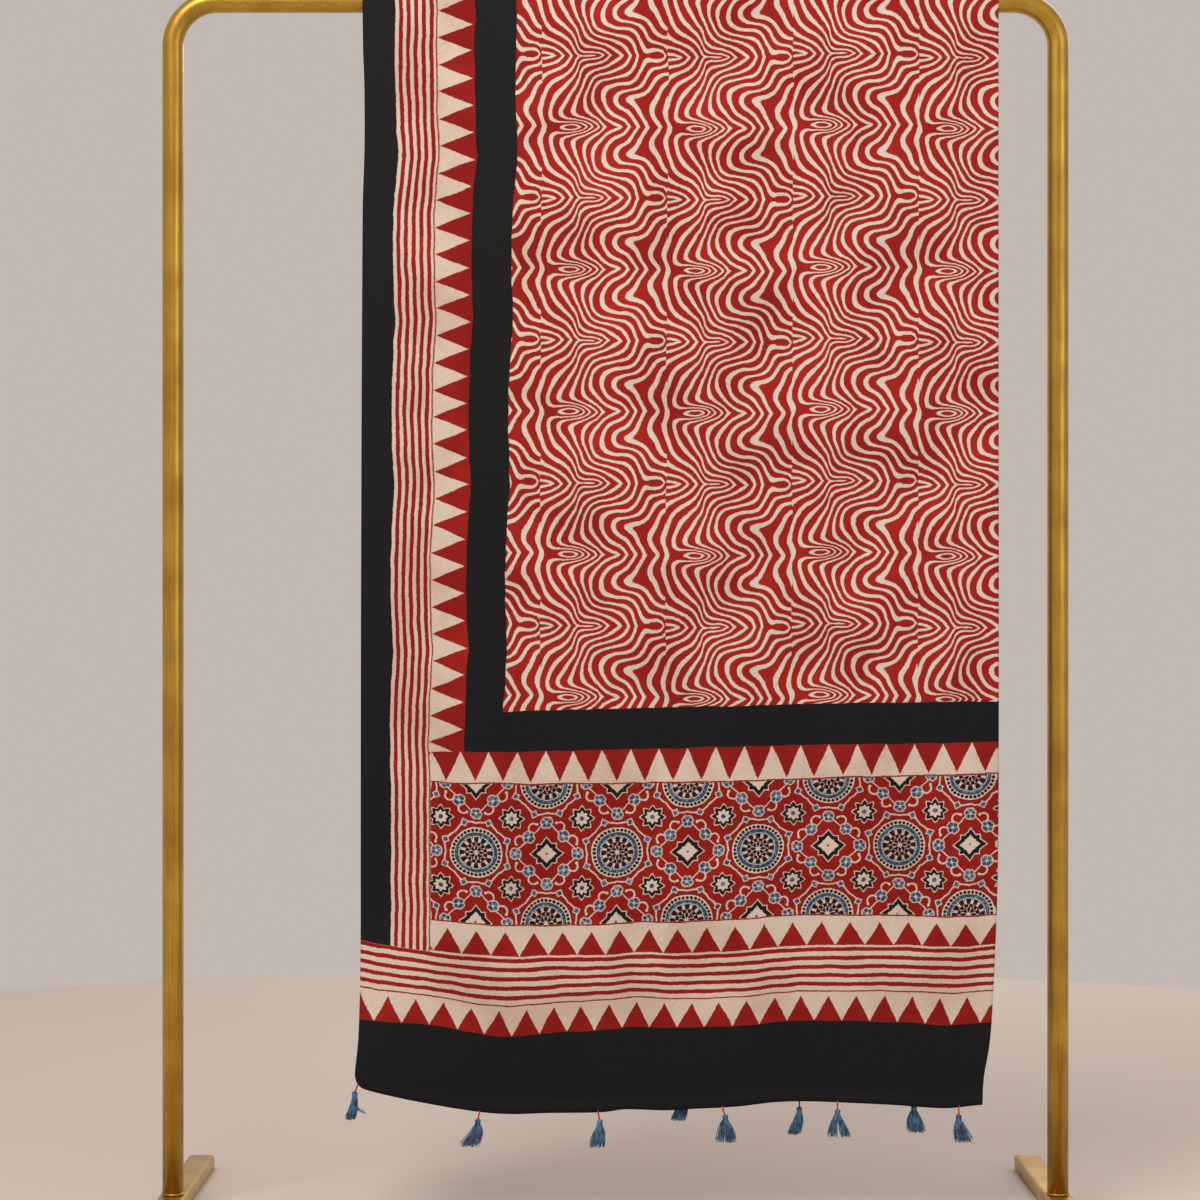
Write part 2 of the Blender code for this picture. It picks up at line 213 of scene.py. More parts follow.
class Graph:
    """The node graph of one new material."""

    def __init__(self, name: str) -> None:
        """Start a material with a plain Principled shader.

        Args:
            name: The material's name.
        """
        self.material = bpy.data.materials.new(name)
        self.material.use_nodes = True
        self.tree = self.material.node_tree
        self.shader = self.tree.nodes["Principled BSDF"]

    def plug(self, socket: bpy.types.NodeSocket, value: Any) -> None:
        """Link a value or a socket to an input, or set a plain number on it."""
        if isinstance(value, Value):
            self.tree.links.new(value.socket, socket)
        elif isinstance(value, bpy.types.NodeSocket):
            self.tree.links.new(value, socket)
        else:
            socket.default_value = value

    def node(
        self,
        kind: str,
        settings: dict[str, Any] | None = None,
        inputs: dict[str | int, Any] | None = None,
    ) -> bpy.types.Node:
        """Add any node.

        Args:
            kind: The node's type.
            settings: Its settings, which are set first. "points" are a curve's points.
            inputs: Numbers, colours or links for its sockets.

        Returns:
            The new node.
        """
        node = self.tree.nodes.new(kind)
        for name, setting in (settings or {}).items():
            if name == "points":
                curve = node.mapping.curves[0]
                curve.points[0].location = setting[0]
                curve.points[1].location = setting[-1]
                for point in setting[1:-1]:
                    curve.points.new(*point)
                node.mapping.update()
            else:
                setattr(node, name, setting)
        for name, value in (inputs or {}).items():
            self.plug(node.inputs[name], value)
        return node

    def maths(self, kind: str, *values: "Value | float", clamped: bool = False) -> Value:
        """Add a Math node.

        Args:
            kind: The node's operation.
            values: What it works on, in order.
            clamped: Whether the result is held between 0 and 1.

        Returns:
            Its result.
        """
        settings = {"operation": kind, "use_clamp": clamped}
        node = self.node("ShaderNodeMath", settings, dict(enumerate(values)))
        return Value(self, node.outputs[0])

    def length(self, across: Value, up: Value) -> Value:
        """The distance from the origin of a point in the plane."""
        node = self.node(
            "ShaderNodeVectorMath", {"operation": "LENGTH"}, {0: self.place(across, up)}
        )
        return Value(self, node.outputs["Value"])

    def curve(self, value: Value, points: Sequence[Point]) -> Value:
        """Read a smooth curve whose points all lie between 0 and 1."""
        node = self.node("ShaderNodeFloatCurve", {"points": points}, {"Value": value})
        return Value(self, node.outputs[0])

    def place(self, across: Value, up: Value, deep: "Value | float" = 0.0) -> bpy.types.NodeSocket:
        """Join numbers into one vector."""
        inputs = {"X": across, "Y": up, "Z": deep}
        return self.node("ShaderNodeCombineXYZ", inputs=inputs).outputs[0]

    def parts(self, vector: bpy.types.NodeSocket) -> tuple[Value, Value, Value]:
        """Split a vector or a colour into its three numbers."""
        node = self.node("ShaderNodeSeparateXYZ", inputs={0: vector})
        return tuple(Value(self, output) for output in node.outputs)

    def noise_node(
        self, vector: bpy.types.NodeSocket, scale: float, detail: float, flat: bool
    ) -> bpy.types.Node:
        """Add a noise texture.

        Args:
            vector: Where it is read.
            scale: How many bumps it has in one unit of the vector.
            detail: How many finer layers it has.
            flat: Whether it is read in two dimensions, and not in three.

        Returns:
            The noise node, whose first output is a number and whose second is a colour.
        """
        settings = {"noise_dimensions": "2D" if flat else "3D"}
        inputs = {"Vector": vector, "Scale": scale, "Detail": detail}
        return self.node("ShaderNodeTexNoise", settings, inputs)

    def noise(
        self, vector: bpy.types.NodeSocket, scale: float, detail: float, flat: bool = False
    ) -> Value:
        """Read one number of noise, of which noise_node says more."""
        return Value(self, self.noise_node(vector, scale, detail, flat).outputs[0])

    def three_noises(
        self, vector: bpy.types.NodeSocket, scale: float
    ) -> tuple[Value, Value, Value]:
        """Read three unlike numbers of plain flat noise at once."""
        return self.parts(self.noise_node(vector, scale, 1.0, True).outputs[1])

    def blend(
        self, mask: "Value | float", under: Any, over: Any, how: str = "MIX"
    ) -> bpy.types.NodeSocket:
        """Lay one colour over another.

        Args:
            mask: Where the upper colour shows, from 0 to 1.
            under: The lower colour.
            over: The upper colour.
            how: The Mix node's way of blending.

        Returns:
            The blended colour.
        """
        settings = {"data_type": "RGBA", "blend_type": how}
        return self.node("ShaderNodeMix", settings, {0: mask, 6: under, 7: over}).outputs[2]

    def bump(self, height: Value, depth: float, strength: float) -> bpy.types.NodeSocket:
        """Turn a height from 0 to 1 into a bumped normal."""
        inputs = {"Strength": strength, "Distance": depth, "Height": height}
        return self.node("ShaderNodeBump", inputs=inputs).outputs["Normal"]

    def finish(self, **sockets: Any) -> bpy.types.Material:
        """Set the shader's own sockets, whose names have underscores for spaces."""
        for name, value in sockets.items():
            self.plug(self.shader.inputs[name.replace("_", " ")], value)
        return self.material


@dataclass(frozen=True)
class Ring:
    """A ring of equal small shapes round a middle, in millimetres."""

    count: int
    radius: float
    size: float
    turn: float = 0.0


@dataclass(frozen=True)
class BandShapes:
    """The medallion band's shapes in millimetres, each measured from its own middle."""

    beads: Ring = Ring(36, 20.9, 1.5)
    squares: tuple[Ring, ...] = (Ring(12, 12.8, 2.2), Ring(12, 8.3, 1.75, 0.5))
    petals: Ring = Ring(8, 3.9, 1.35)
    petal_squash: float = 0.6
    specks: tuple[Ring, ...] = (Ring(12, 10.3, 1.15), Ring(12, 6.1, 0.9))
    disc: float = 23.5
    disc_lines: tuple[Point, ...] = ((18.5, 0.4), (23.8, 0.25))
    disc_blue: Point = (13.4, 18.3)
    square_rim: float = 0.7
    vine: float = 29.8
    vine_fold: float = 5.6
    vine_half: float = 0.7
    gems: Ring = Ring(8, 29.8, 4.0, 0.5)
    gem_blue: float = 2.7
    diamond: float = 15.8
    diamond_near: float = 1.25
    diamond_far: float = 1.45
    diamond_bow: float = 2.2
    diamond_black: Point = (9.3, 14.5)
    diamond_dot: float = 1.1
    diamond_vine: float = 28.2
    diamond_vine_slope: Point = (0.93, 1.02)
    curl_at: Point = (23.6, 11.8)
    curl_slope: Point = (0.75, 0.9)
    curl: float = 4.3
    curl_half: float = 0.75
    curl_open: float = 0.6
    knob_at: Point = (27.0, 8.6)
    knob: float = 1.25
    flower_petals: Ring = Ring(5, 2.9, 1.7)
    flower_squash: float = 0.85
    flower_heart: float = 1.8
    flower_rim: float = 0.75
    flower_dot: float = 1.1
    flower_sector: float = 2.42
    flower_by_disc: float = 35.55
    flower_by_diamond: float = 27.9
    flower_at_corner: Point = (15.7, 15.5)
    star: float = 11.9
    star_black: Point = (6.6, 10.6)
    star_notch: float = 0.33
    star_dot: float = 2.1


@dataclass(frozen=True)
class Swell:
    """A bend set into the field's stripes: its place, its reaches and how many stripes it adds."""

    across: float
    reach_across: float
    reach_along: float
    stripes: float


@dataclass(frozen=True)
class PrintLayout:
    """The print's measures in millimetres, from the side selvedge and from the end hem."""

    outer_black: float = 29.2
    stripes_end: float = 67.7
    side_stripe: float = 34.5
    side_stripe_pitch: float = 6.95
    side_stripe_half: float = 1.85
    side_line: float = 66.8
    line_half: float = 0.55
    side_tips: float = 99.5
    side_triangle_pitch: float = 24.4
    side_black: float = 101.4
    field_side: float = 138.8
    end_black: float = 72.0
    end_tips: float = 96.5
    end_triangle_pitch: float = 25.0
    end_line: float = 100.8
    end_stripe: float = 107.5
    end_stripe_pitch: float = 7.75
    end_stripe_half: float = 1.8
    stripes_top: float = 140.4
    low_triangles_base: float = 142.2
    low_triangles_tips: float = 162.9
    low_triangle_pitch: float = 26.0
    band_bottom: float = 168.3
    band_top: float = 297.9
    band_rim: float = 1.3
    high_triangles_tips: float = 299.0
    high_triangles_base: float = 324.0
    high_triangle_pitch: float = 25.5
    field_end: float = 361.8
    medallion_step: float = 63.45
    medallion_across: float = 103.5
    medallion_up: float = 234.0
    block_width: float = 113.1
    block_height: float = 128.2
    block_across: float = 160.6
    block_up: float = 370.4
    block_stripes: int = 10
    block_shake: float = 2.0
    cream_share: float = 0.185
    eye: Swell = Swell(28.5, 16.0, 6.2, -2.65)
    spindle: Swell = Swell(42.5, 8.0, 3.8, -1.15)
    finger: Swell = Swell(103.5, 6.0, 4.2, 0.45)
    shapes: BandShapes = BandShapes()


# The field's stripes, charted along six level lines of a block from its eyes to its
# arrows: how many stripes lie to the left of each distance in millimetres from the block's edge
STRIPES_LOWEST = -4.0
STRIPES_SPAN = 15.0
FIELD_ROWS = (
    (
        (0.0, -0.05), (2.0, 0.15), (5.0, 0.75), (9.0, 1.05), (13.0, 1.4), (17.5, 1.65),
        (25.8, 2.05), (33.8, 2.45), (39.6, 2.75), (44.5, 3.0), (49.7, 3.3), (54.6, 4.0),
        (62.0, 4.5), (70.2, 5.0), (78.1, 6.0), (86.1, 7.0), (94.0, 8.0), (105.8, 9.0),
        (113.1, 9.95),
    ),
    (
        (0.0, 0.21), (6.9, 1.0), (16.3, 2.0), (27.4, 3.0), (40.4, 4.0), (51.5, 5.0),
        (61.5, 6.0), (77.4, 7.0), (87.1, 8.0), (98.3, 9.0), (110.7, 10.0), (113.1, 10.2),
    ),
    (
        (0.0, -0.15), (11.1, 1.0), (22.5, 2.0), (30.8, 3.0), (37.7, 4.0), (44.8, 5.0),
        (55.1, 6.0), (66.0, 7.0), (78.5, 8.0), (90.2, 8.3), (98.0, 8.65), (103.4, 9.0),
        (113.1, 9.93),
    ),
    (
        (0.0, -0.65), (7.5, 0.0), (21.7, 1.0), (30.7, 2.0), (36.2, 3.0), (42.3, 4.0),
        (48.5, 5.0), (66.0, 6.0), (80.0, 6.25), (90.2, 7.0), (99.4, 8.0), (110.2, 9.0),
        (113.1, 9.2),
    ),
    (
        (0.0, -1.55), (11.6, -1.0), (25.5, 0.0), (31.2, 1.0), (35.3, 2.0), (47.6, 3.0),
        (67.0, 4.0), (81.4, 5.0), (89.2, 6.0), (98.5, 7.0), (106.0, 7.35), (113.1, 7.6),
    ),
    (
        (0.0, -3.45), (8.0, -3.25), (11.6, -3.0), (19.3, -2.0), (26.7, -1.0), (31.4, -0.2),
        (36.0, 0.6), (40.0, 1.0), (44.0, 1.0), (48.0, 0.8), (51.5, 0.8), (54.8, 1.05),
        (61.3, 2.0), (72.2, 3.0), (79.8, 4.0), (86.5, 5.0), (89.9, 5.45), (93.7, 5.62),
        (96.5, 5.5), (100.6, 5.08), (105.0, 4.95), (108.5, 5.25), (111.0, 5.85), (113.1, 6.4),
    ),
)


@dataclass
class Masks:
    """Signed distances in millimetres: each ink lies where its own is below 0."""

    cream: Value
    black: Value
    blue: Value


class BlockPrint:
    """The cloth's traditional geometric design, drawn with plain shader maths."""

    def __init__(self, graph: Graph, layout: PrintLayout) -> None:
        """Keep the graph and the measures.

        Args:
            graph: The material's graph.
            layout: The print's measures.
        """
        self.graph = graph
        self.layout = layout
        self.shapes = layout.shapes

    def triangles(
        self, along: Value, toward_tips: Value, base: float, tips: float, pitch: float
    ) -> Value:
        """A row of triangles that stand on one line.

        Args:
            along: The distance along the row.
            toward_tips: The distance across the row, on the same scale as base and tips.
            base: Where the triangles stand.
            tips: Where they end.
            pitch: How far apart the tips are.

        Returns:
            A distance that is below 0 in the triangles.
        """
        height = (toward_tips - base) * (1 / (tips - base))
        reach = along.to_nearest(0.0, pitch) * (2 / pitch)
        return (reach + height - 1.0) * (pitch * 0.45)

    def side_border(self, side: Value, along: Value) -> Masks:
        """The border beside a selvedge: black, striped, toothed and black again."""
        lay = self.layout
        stripe = side.to_nearest(lay.side_stripe, lay.side_stripe_pitch)
        striped = side.past_band(lay.outer_black, lay.stripes_end)
        cream = striped.most(lay.side_stripe_half - stripe)
        cream = cream.most(lay.line_half - abs(side - lay.side_line))
        teeth = self.triangles(
            along, side, lay.stripes_end, lay.side_tips, lay.side_triangle_pitch
        )
        cream = cream.least(teeth.most(lay.stripes_end - side))
        black = (side - lay.outer_black).least(lay.side_black - side)
        return Masks(cream, black, black)

    def end_border(self, across: Value, end: Value) -> Masks:
        """The border along a hem: black, toothed, striped, toothed, medallions, toothed."""
        lay = self.layout
        low = self.triangles(across, end, lay.end_black, lay.end_tips, lay.end_triangle_pitch)
        middle = self.triangles(
            across, end, lay.low_triangles_base, lay.low_triangles_tips, lay.low_triangle_pitch
        )
        middle = middle.most(lay.low_triangles_base - end)
        high = self.triangles(
            across, end, lay.high_triangles_base, lay.high_triangles_tips,
            lay.high_triangle_pitch,
        )
        stripe = end.to_nearest(lay.end_stripe, lay.end_stripe_pitch)
        striped = end.past_band(lay.end_line, lay.stripes_top)
        red = (stripe - lay.end_stripe_half).most(striped)
        red = red.least(low).least(middle).least(high)
        red = red.least(abs(end - lay.end_line) - lay.line_half)
        in_band = end.past_band(lay.band_bottom, lay.band_top)
        cream = (-red).most(lay.end_black - end).most(-in_band)
        drawn = in_band + lay.band_rim
        medallions = self.medallions(across - lay.medallion_across, end - lay.medallion_up)
        cream = cream.least(medallions.cream.most(drawn))
        black = (end - lay.end_black).least(medallions.black.most(drawn))
        return Masks(cream, black, medallions.blue.most(drawn))

    def beside(self, angle: Value, radius: Value, ring: Ring) -> tuple[Value, Value]:
        """Where a point lies beside the nearest shape of a ring.

        Args:
            angle: The point's direction from the ring's middle.
            radius: Its distance from there.
            ring: The ring.

        Returns:
            The outward and the sideways distance from the nearest shape's middle.
        """
        share = angle.scaled(ring.count / math.tau, 0.5 + ring.turn).fract()
        width = math.tau * ring.radius / ring.count
        return radius - ring.radius, share.scaled(width, -width / 2)

    def dots(self, angle: Value, radius: Value, ring: Ring, squash: float = 1.0) -> Value:
        """The distance into a ring of dots, which a squash below 1 stretches outward."""
        outward, sideways = self.beside(angle, radius, ring)
        return self.graph.length(outward * squash, sideways) - ring.size

    def medallions(self, across: Value, up: Value) -> Masks:
        """Round medallions and pointed diamonds by turns, with stars where four meet."""
        step = self.layout.medallion_step
        column = across.scaled(1 / step, 0.5)
        row = up.scaled(1 / step, 0.5)
        diamond_cell = ((column.floor() + row.floor()) * 0.5).fract() * 2.0
        from_x = abs(column.fract() - 0.5) * step
        from_y = abs(row.fract() - 0.5) * step
        far = from_x.most(from_y)
        near = from_x.least(from_y)
        radius = self.graph.length(from_x, from_y)

        round_one = self.medallion(radius, from_y.angle_from(from_x))
        pointed = self.diamond(far, near, radius)
        star = self.star(step / 2 - from_x, step / 2 - from_y)
        flower = self.flower(far, near, diamond_cell)
        cream = diamond_cell.choose(pointed.cream, round_one.cream).least(flower.cream)
        blue = diamond_cell.choose(pointed.blue, round_one.blue).least(flower.blue)
        black = diamond_cell.choose(pointed.black, round_one.black)
        return Masks(cream.least(star.cream), black.least(star.black), blue.least(star.blue))

    def medallion(self, radius: Value, angle: Value) -> Masks:
        """One round medallion with its beaded ring and the vine and gems round it."""
        shapes = self.shapes
        squares = self.dots(angle, radius, shapes.petals, shapes.petal_squash)
        for ring in shapes.squares:
            outward, sideways = self.beside(angle, radius, ring)
            squares = squares.least(abs(outward).most(abs(sideways)) - ring.size)
        cream = radius - shapes.disc
        for ring in shapes.specks:
            cream = cream.most(-self.dots(angle, radius, ring))
        blue = radius.past_band(*shapes.disc_blue).most(shapes.square_rim - squares)
        black = self.dots(angle, radius, shapes.beads).least(squares)
        for place, half in shapes.disc_lines:
            black = black.least(abs(radius - place) - half)
        fold = abs(angle.scaled(shapes.gems.count / math.tau, 0.0).fract() - 0.5)
        vine = abs(radius + fold * shapes.vine_fold - shapes.vine) - shapes.vine_half
        outward, sideways = self.beside(angle, radius, shapes.gems)
        gem = abs(outward) + abs(sideways)
        cream = cream.least(vine).least(gem - shapes.gems.size)
        return Masks(cream, black, blue.least(gem - shapes.gem_blue))

    def diamond(self, far: Value, near: Value, radius: Value) -> Masks:
        """One pointed diamond with its bowed sides, its vine and its curls."""
        shapes = self.shapes
        bowed = far + near * shapes.diamond_near
        bowed = bowed.least(far * shapes.diamond_far + shapes.diamond_bow)
        vine = far * shapes.diamond_vine_slope[0] + near * shapes.diamond_vine_slope[1]
        vine = abs(vine - shapes.diamond_vine) - shapes.vine_half
        from_far = far - shapes.curl_at[0]
        from_near = near - shapes.curl_at[1]
        curl = abs(self.graph.length(from_far, from_near) - shapes.curl) - shapes.curl_half
        inward = -(from_far * shapes.curl_slope[0] + from_near * shapes.curl_slope[1])
        curl = curl.most(inward - shapes.curl_open)
        knob = self.graph.length(far - shapes.knob_at[0], near - shapes.knob_at[1])
        cream = (bowed - shapes.diamond).least(vine).least(curl).least(knob - shapes.knob)
        black = bowed.past_band(*shapes.diamond_black)
        return Masks(cream, black, radius - shapes.diamond_dot)

    def flower(self, far: Value, near: Value, cell: Value) -> Masks:
        """The five-petalled flowers, one on each vine's corner and one on each side.

        Args:
            far: The larger of a point's two distances from the cell's middle lines.
            near: The smaller of them.
            cell: 1 in a diamond's cell and 0 in a medallion's.

        Returns:
            The flowers.
        """
        shapes = self.shapes
        side = (near * shapes.flower_sector - far).inside(0.02).most(1.0 - cell)
        by_side = cell.scaled(
            shapes.flower_by_diamond - shapes.flower_by_disc, shapes.flower_by_disc
        )
        corner_far, corner_near = shapes.flower_at_corner
        from_far = far - side.choose(by_side, corner_far)
        from_near = near - side.scaled(-corner_near, corner_near)
        radius = self.graph.length(from_far, from_near)
        angle = from_near.angle_from(from_far) + side.scaled(-math.pi / 4, math.pi / 4)
        petal = self.dots(angle, radius, shapes.flower_petals, shapes.flower_squash)
        cream = petal.least(radius - shapes.flower_heart) - shapes.flower_rim
        return Masks(cream, cream, petal.most(shapes.flower_dot - radius))

    def star(self, across: Value, up: Value) -> Masks:
        """One eight-pointed star, from its middle."""
        shapes = self.shapes
        radius = self.graph.length(across, up)
        turn = up.angle_from(across).scaled(8 / math.tau, 0.5).fract()
        valley = abs(turn - 0.5) * 2.0
        edge = radius / (1.0 - valley * shapes.star_notch)
        black = edge.past_band(*shapes.star_black)
        return Masks(edge - shapes.star, black, radius - shapes.star_dot)

    def field_stripes(self, across: Value, along: Value) -> Value:
        """The middle's waving stripes, which swing round rows of pointed eyes.

        The charted lines say where the stripes run, and the eyes, the spindles and the round
        fingers are set into them.

        Args:
            across: The distance from the left selvedge.
            along: The distance from the front hem.

        Returns:
            A distance that is below 0 in the cream stripes.
        """
        lay = self.layout
        pitch = lay.block_width / lay.block_stripes
        blocks = (across - lay.block_across) * (1 / lay.block_width)
        share = blocks.fract()
        shake = (blocks.floor() * 2.4).sine() * lay.block_shake
        row = ((along + shake - lay.block_up) * (1 / lay.block_height)).fract()
        from_arrow = abs(row - 0.5) * lay.block_height
        from_eye = lay.block_height / 2 - from_arrow
        phase = self.charted(share, from_eye * (2 / lay.block_height))
        round_eye = self.bell(from_eye * (1 / lay.eye.reach_along))
        phase = phase + self.swelling(lay.eye, share, round_eye)
        pointed = (from_arrow * (-1 / lay.spindle.reach_along)).exponent()
        phase = phase + self.swelling(lay.spindle, share, pointed)
        finger = self.bell(from_arrow * (1 / lay.finger.reach_along))
        phase = phase + self.swelling(lay.finger, share, finger)
        return (abs((phase + 0.5).fract() - 0.5) - lay.cream_share) * pitch

    def charted(self, share: Value, height: Value) -> Value:
        """How many stripes lie to the left, drawn smoothly through the charted lines.

        Args:
            share: The distance from the block's left edge, as a share of its width.
            height: 0 on the line through the eyes and 1 on the line through the arrows.

        Returns:
            The count of stripes.
        """
        last = len(FIELD_ROWS) - 1
        place = height * float(last)
        weights = [self.nearness(abs(place - float(number))) for number in range(last + 1)]
        before = self.nearness(place + 1.0)
        beyond = self.nearness(last + 1.0 - place)
        weights[0] = weights[0] + before * 2.0
        weights[1] = weights[1] - before
        weights[last] = weights[last] + beyond * 2.0
        weights[last - 1] = weights[last - 1] - beyond
        total = 0.0
        for weight, row in zip(weights, FIELD_ROWS):
            points = [
                (across / self.layout.block_width, (count - STRIPES_LOWEST) / STRIPES_SPAN)
                for across, count in row
            ]
            total = weight * self.graph.curve(share, points) + total
        return total.scaled(STRIPES_SPAN, STRIPES_LOWEST)

    def nearness(self, distance: Value) -> Value:
        """The weight of a charted line at a distance counted in lines, on a cardinal cubic."""
        near = distance.least(1.0)
        far = distance.least(2.0).most(1.0)
        first = near * near * (near * 1.5 - 2.5) + 1.0
        return first + far * (far * (far * -0.5 + 2.5) - 4.0) + 2.0

    def bell(self, distance: Value) -> Value:
        """A round bump, 1 where the distance is 0 and faded a few units away."""
        return (-(distance * distance)).exponent()

    def swelling(self, swell: Swell, share: Value, beside: Value) -> Value:
        """How many stripes a bend moves the others by.

        Args:
            swell: The bend.
            share: The distance from the block's left edge, as a share of its width.
            beside: Its strength along the block, from 0 to 1.

        Returns:
            The count of stripes.
        """
        block = self.layout.block_width
        away = share.scaled(block / swell.reach_across, -swell.across / swell.reach_across)
        return self.bell(away) * beside * swell.stripes

    def whole(self, across: Value, along: Value, side: Value, end: Value) -> Masks:
        """Lay out the whole cloth: field, side borders and end borders.

        Args:
            across: The distance from the left selvedge, as woven.
            along: The distance from the front hem, as woven.
            side: The printed distance from the nearer selvedge.
            end: The printed distance from the nearer hem.

        Returns:
            The whole design.
        """
        lay = self.layout
        beyond_side = lay.stripes_end - side
        in_end = (end - lay.stripes_top).least(
            (end - lay.high_triangles_base).most(beyond_side)
        )
        in_field = (lay.field_side - side).most(lay.field_end - end)
        in_side = (-in_end).most(-in_field)
        borders = self.side_border(side, along)
        ends = self.end_border(across, end)
        field_cream = self.field_stripes(across, along).most(in_field)
        cream = ends.cream.most(in_end).least(field_cream).least(borders.cream.most(in_side))
        black = ends.black.most(in_end).least(borders.black.most(in_side))
        return Masks(cream, black, ends.blue.most(in_end))


@dataclass(frozen=True)
class PrintedCotton:
    """Printed cotton: four dull natural inks on a plain weave."""

    red: Colour = paint(173, 37, 27)
    deep_red: Colour = paint(138, 22, 18)
    cream: Colour = paint(224, 211, 196)
    # The darker cream of the random stains and of the border bands.
    darker_cream: Colour = paint(206, 182, 166)
    black: Colour = paint(11, 11, 16)
    worn_black: Colour = paint(25, 25, 31)
    blue: Colour = paint(38, 68, 106)
    pale_blue: Colour = paint(112, 146, 170)
    fine_scale: float = 300.0
    fine_shift: float = 0.9
    broad_scale: float = 38.0
    broad_shift: float = 2.2
    patch_scale: float = 16.0
    grain_scale: float = 900.0
    slub_stretch: Point = (0.30, 1.3)
    rib_stretch: Point = (1.3, 0.25)
    thread_shade: float = 0.8
    thread_pitch: float = 0.62
    weave_depth: float = 0.00016
    stitch_line: float = 6.2
    stitch_half: float = 0.35
    cream_edge: float = 0.5
    black_edge: float = 0.45
    blue_edge: float = 0.6
    border_fade: float = 4.0
    # How much darker the border bands' red and cream are made than the field's.
    border_red_darkening: float = 0.45
    border_cream_darkening: float = 0.35

    def material(self, layout: PrintLayout) -> bpy.types.Material:
        """Make the cloth's material.

        Args:
            layout: The print's measures.

        Returns:
            The material.
        """
        graph = Graph("printed_cotton_weave")
        woven = graph.node("ShaderNodeUVMap", {"uv_map": "cloth"}).outputs[0]
        printed = graph.node("ShaderNodeUVMap", {"uv_map": "print"}).outputs[0]
        across, along, _ = (part * MM for part in graph.parts(woven))
        side, end, _ = (part * MM for part in graph.parts(printed))

        fine = graph.three_noises(woven, self.fine_scale)
        broad = graph.three_noises(woven, self.broad_scale)
        shift_x, shift_y = (
            (fine[i] - 0.5) * self.fine_shift + (broad[i] - 0.5) * self.broad_shift
            for i in range(2)
        )
        design = BlockPrint(graph, layout).whole(
            across + shift_x, along + shift_y, side + shift_x, end + shift_y
        )
        patch = graph.noise(woven, self.patch_scale, 3.0, flat=True)
        grain = graph.noise(woven, self.grain_scale, 2.0, flat=True)
        slub, rib = (
            graph.noise(graph.place(across * wide, along * tall), 1.0, 1.0, flat=True)
            for wide, tall in (self.slub_stretch, self.rib_stretch)
        )
        threads = (slub + rib) * 0.5
        uneven = patch.scaled(2.6, -0.8) + (threads - 0.5)

        # The border bands are made darker than the field: their red deeper and their cream darker.
        border = (layout.field_side - side).most(layout.field_end - end)
        outside = (-border).inside(self.border_fade)
        deep = uneven.scaled(0.75, 0.12) + outside * self.border_red_darkening
        red = graph.blend(deep.least(1.0), self.red, self.deep_red)
        cream_darkening = (grain * 0.4 + patch).scaled(2.4, -1.45).most(0.0) + outside * self.border_cream_darkening
        cream = graph.blend(cream_darkening.least(1.0), self.cream, self.darker_cream)
        mottle = (fine[2] + broad[2] * 0.4 + grain * 0.4).scaled(2.6, -2.2)
        blue = graph.blend(mottle.shown(), self.blue, self.pale_blue)
        black = graph.blend(grain.scaled(2.5, -1.2).most(0.0), self.black, self.worn_black)
        in_black = design.black.inside(self.black_edge)
        colour = graph.blend(design.cream.inside(self.cream_edge), red, cream)
        colour = graph.blend(design.blue.inside(self.blue_edge), colour, blue)
        colour = graph.blend(in_black, colour, black)
        shade = threads.scaled(0.55, 0.72)
        shade = graph.place(shade, shade, shade)
        colour = graph.blend(self.thread_shade, colour, shade, "MULTIPLY")

        turn = math.tau / self.thread_pitch
        weave = (across * turn).sine() * (along * turn).sine()
        stitch = (abs(end - self.stitch_line) - self.stitch_half).inside(0.5)
        height = weave * 0.22 + threads * 1.6 - stitch * 0.8
        return graph.finish(
            Base_Color=colour, Roughness=in_black.scaled(-0.22, 0.90),
            Normal=graph.bump(height, self.weave_depth, 0.75), Specular_IOR_Level=0.22,
        )


class Dye(Enum):
    """The two colours of the tassels' thread, each a deep and a light tone."""

    BLUE = (paint(24, 58, 98), paint(104, 156, 198))
    RED = (paint(176, 20, 30), paint(232, 60, 56))


@dataclass(frozen=True)
class DyedThread:
    """Soft dyed cotton thread."""

    dye: Dye
    fibre_scale: float = 1200.0
    fibre_length: float = 10.0
    patch_scale: float = 160.0
    fibre_depth: float = 0.00012

    def material(self) -> bpy.types.Material:
        """Make the thread's material."""
        graph = Graph(f"{self.dye.name.lower()}_thread_fibres")
        place = graph.node("ShaderNodeTexCoord").outputs["Object"]
        across, deep, up = (part * self.fibre_scale for part in graph.parts(place))
        fibres = graph.place(across, deep, up * (1 / self.fibre_length))
        fibre = graph.noise(fibres, 1.0, 2.0)
        patch = graph.noise(place, self.patch_scale, 1.0)
        dark, light = self.dye.value
        mask = (fibre + patch * 0.5).scaled(2.8, -1.7)
        colour = graph.blend(mask.shown(), dark, light)
        return graph.finish(
            Base_Color=colour, Roughness=fibre.scaled(0.2, 0.75),
            Normal=graph.bump(fibre, self.fibre_depth, 0.6),
            Sheen_Weight=0.25, Sheen_Roughness=0.4,
        )


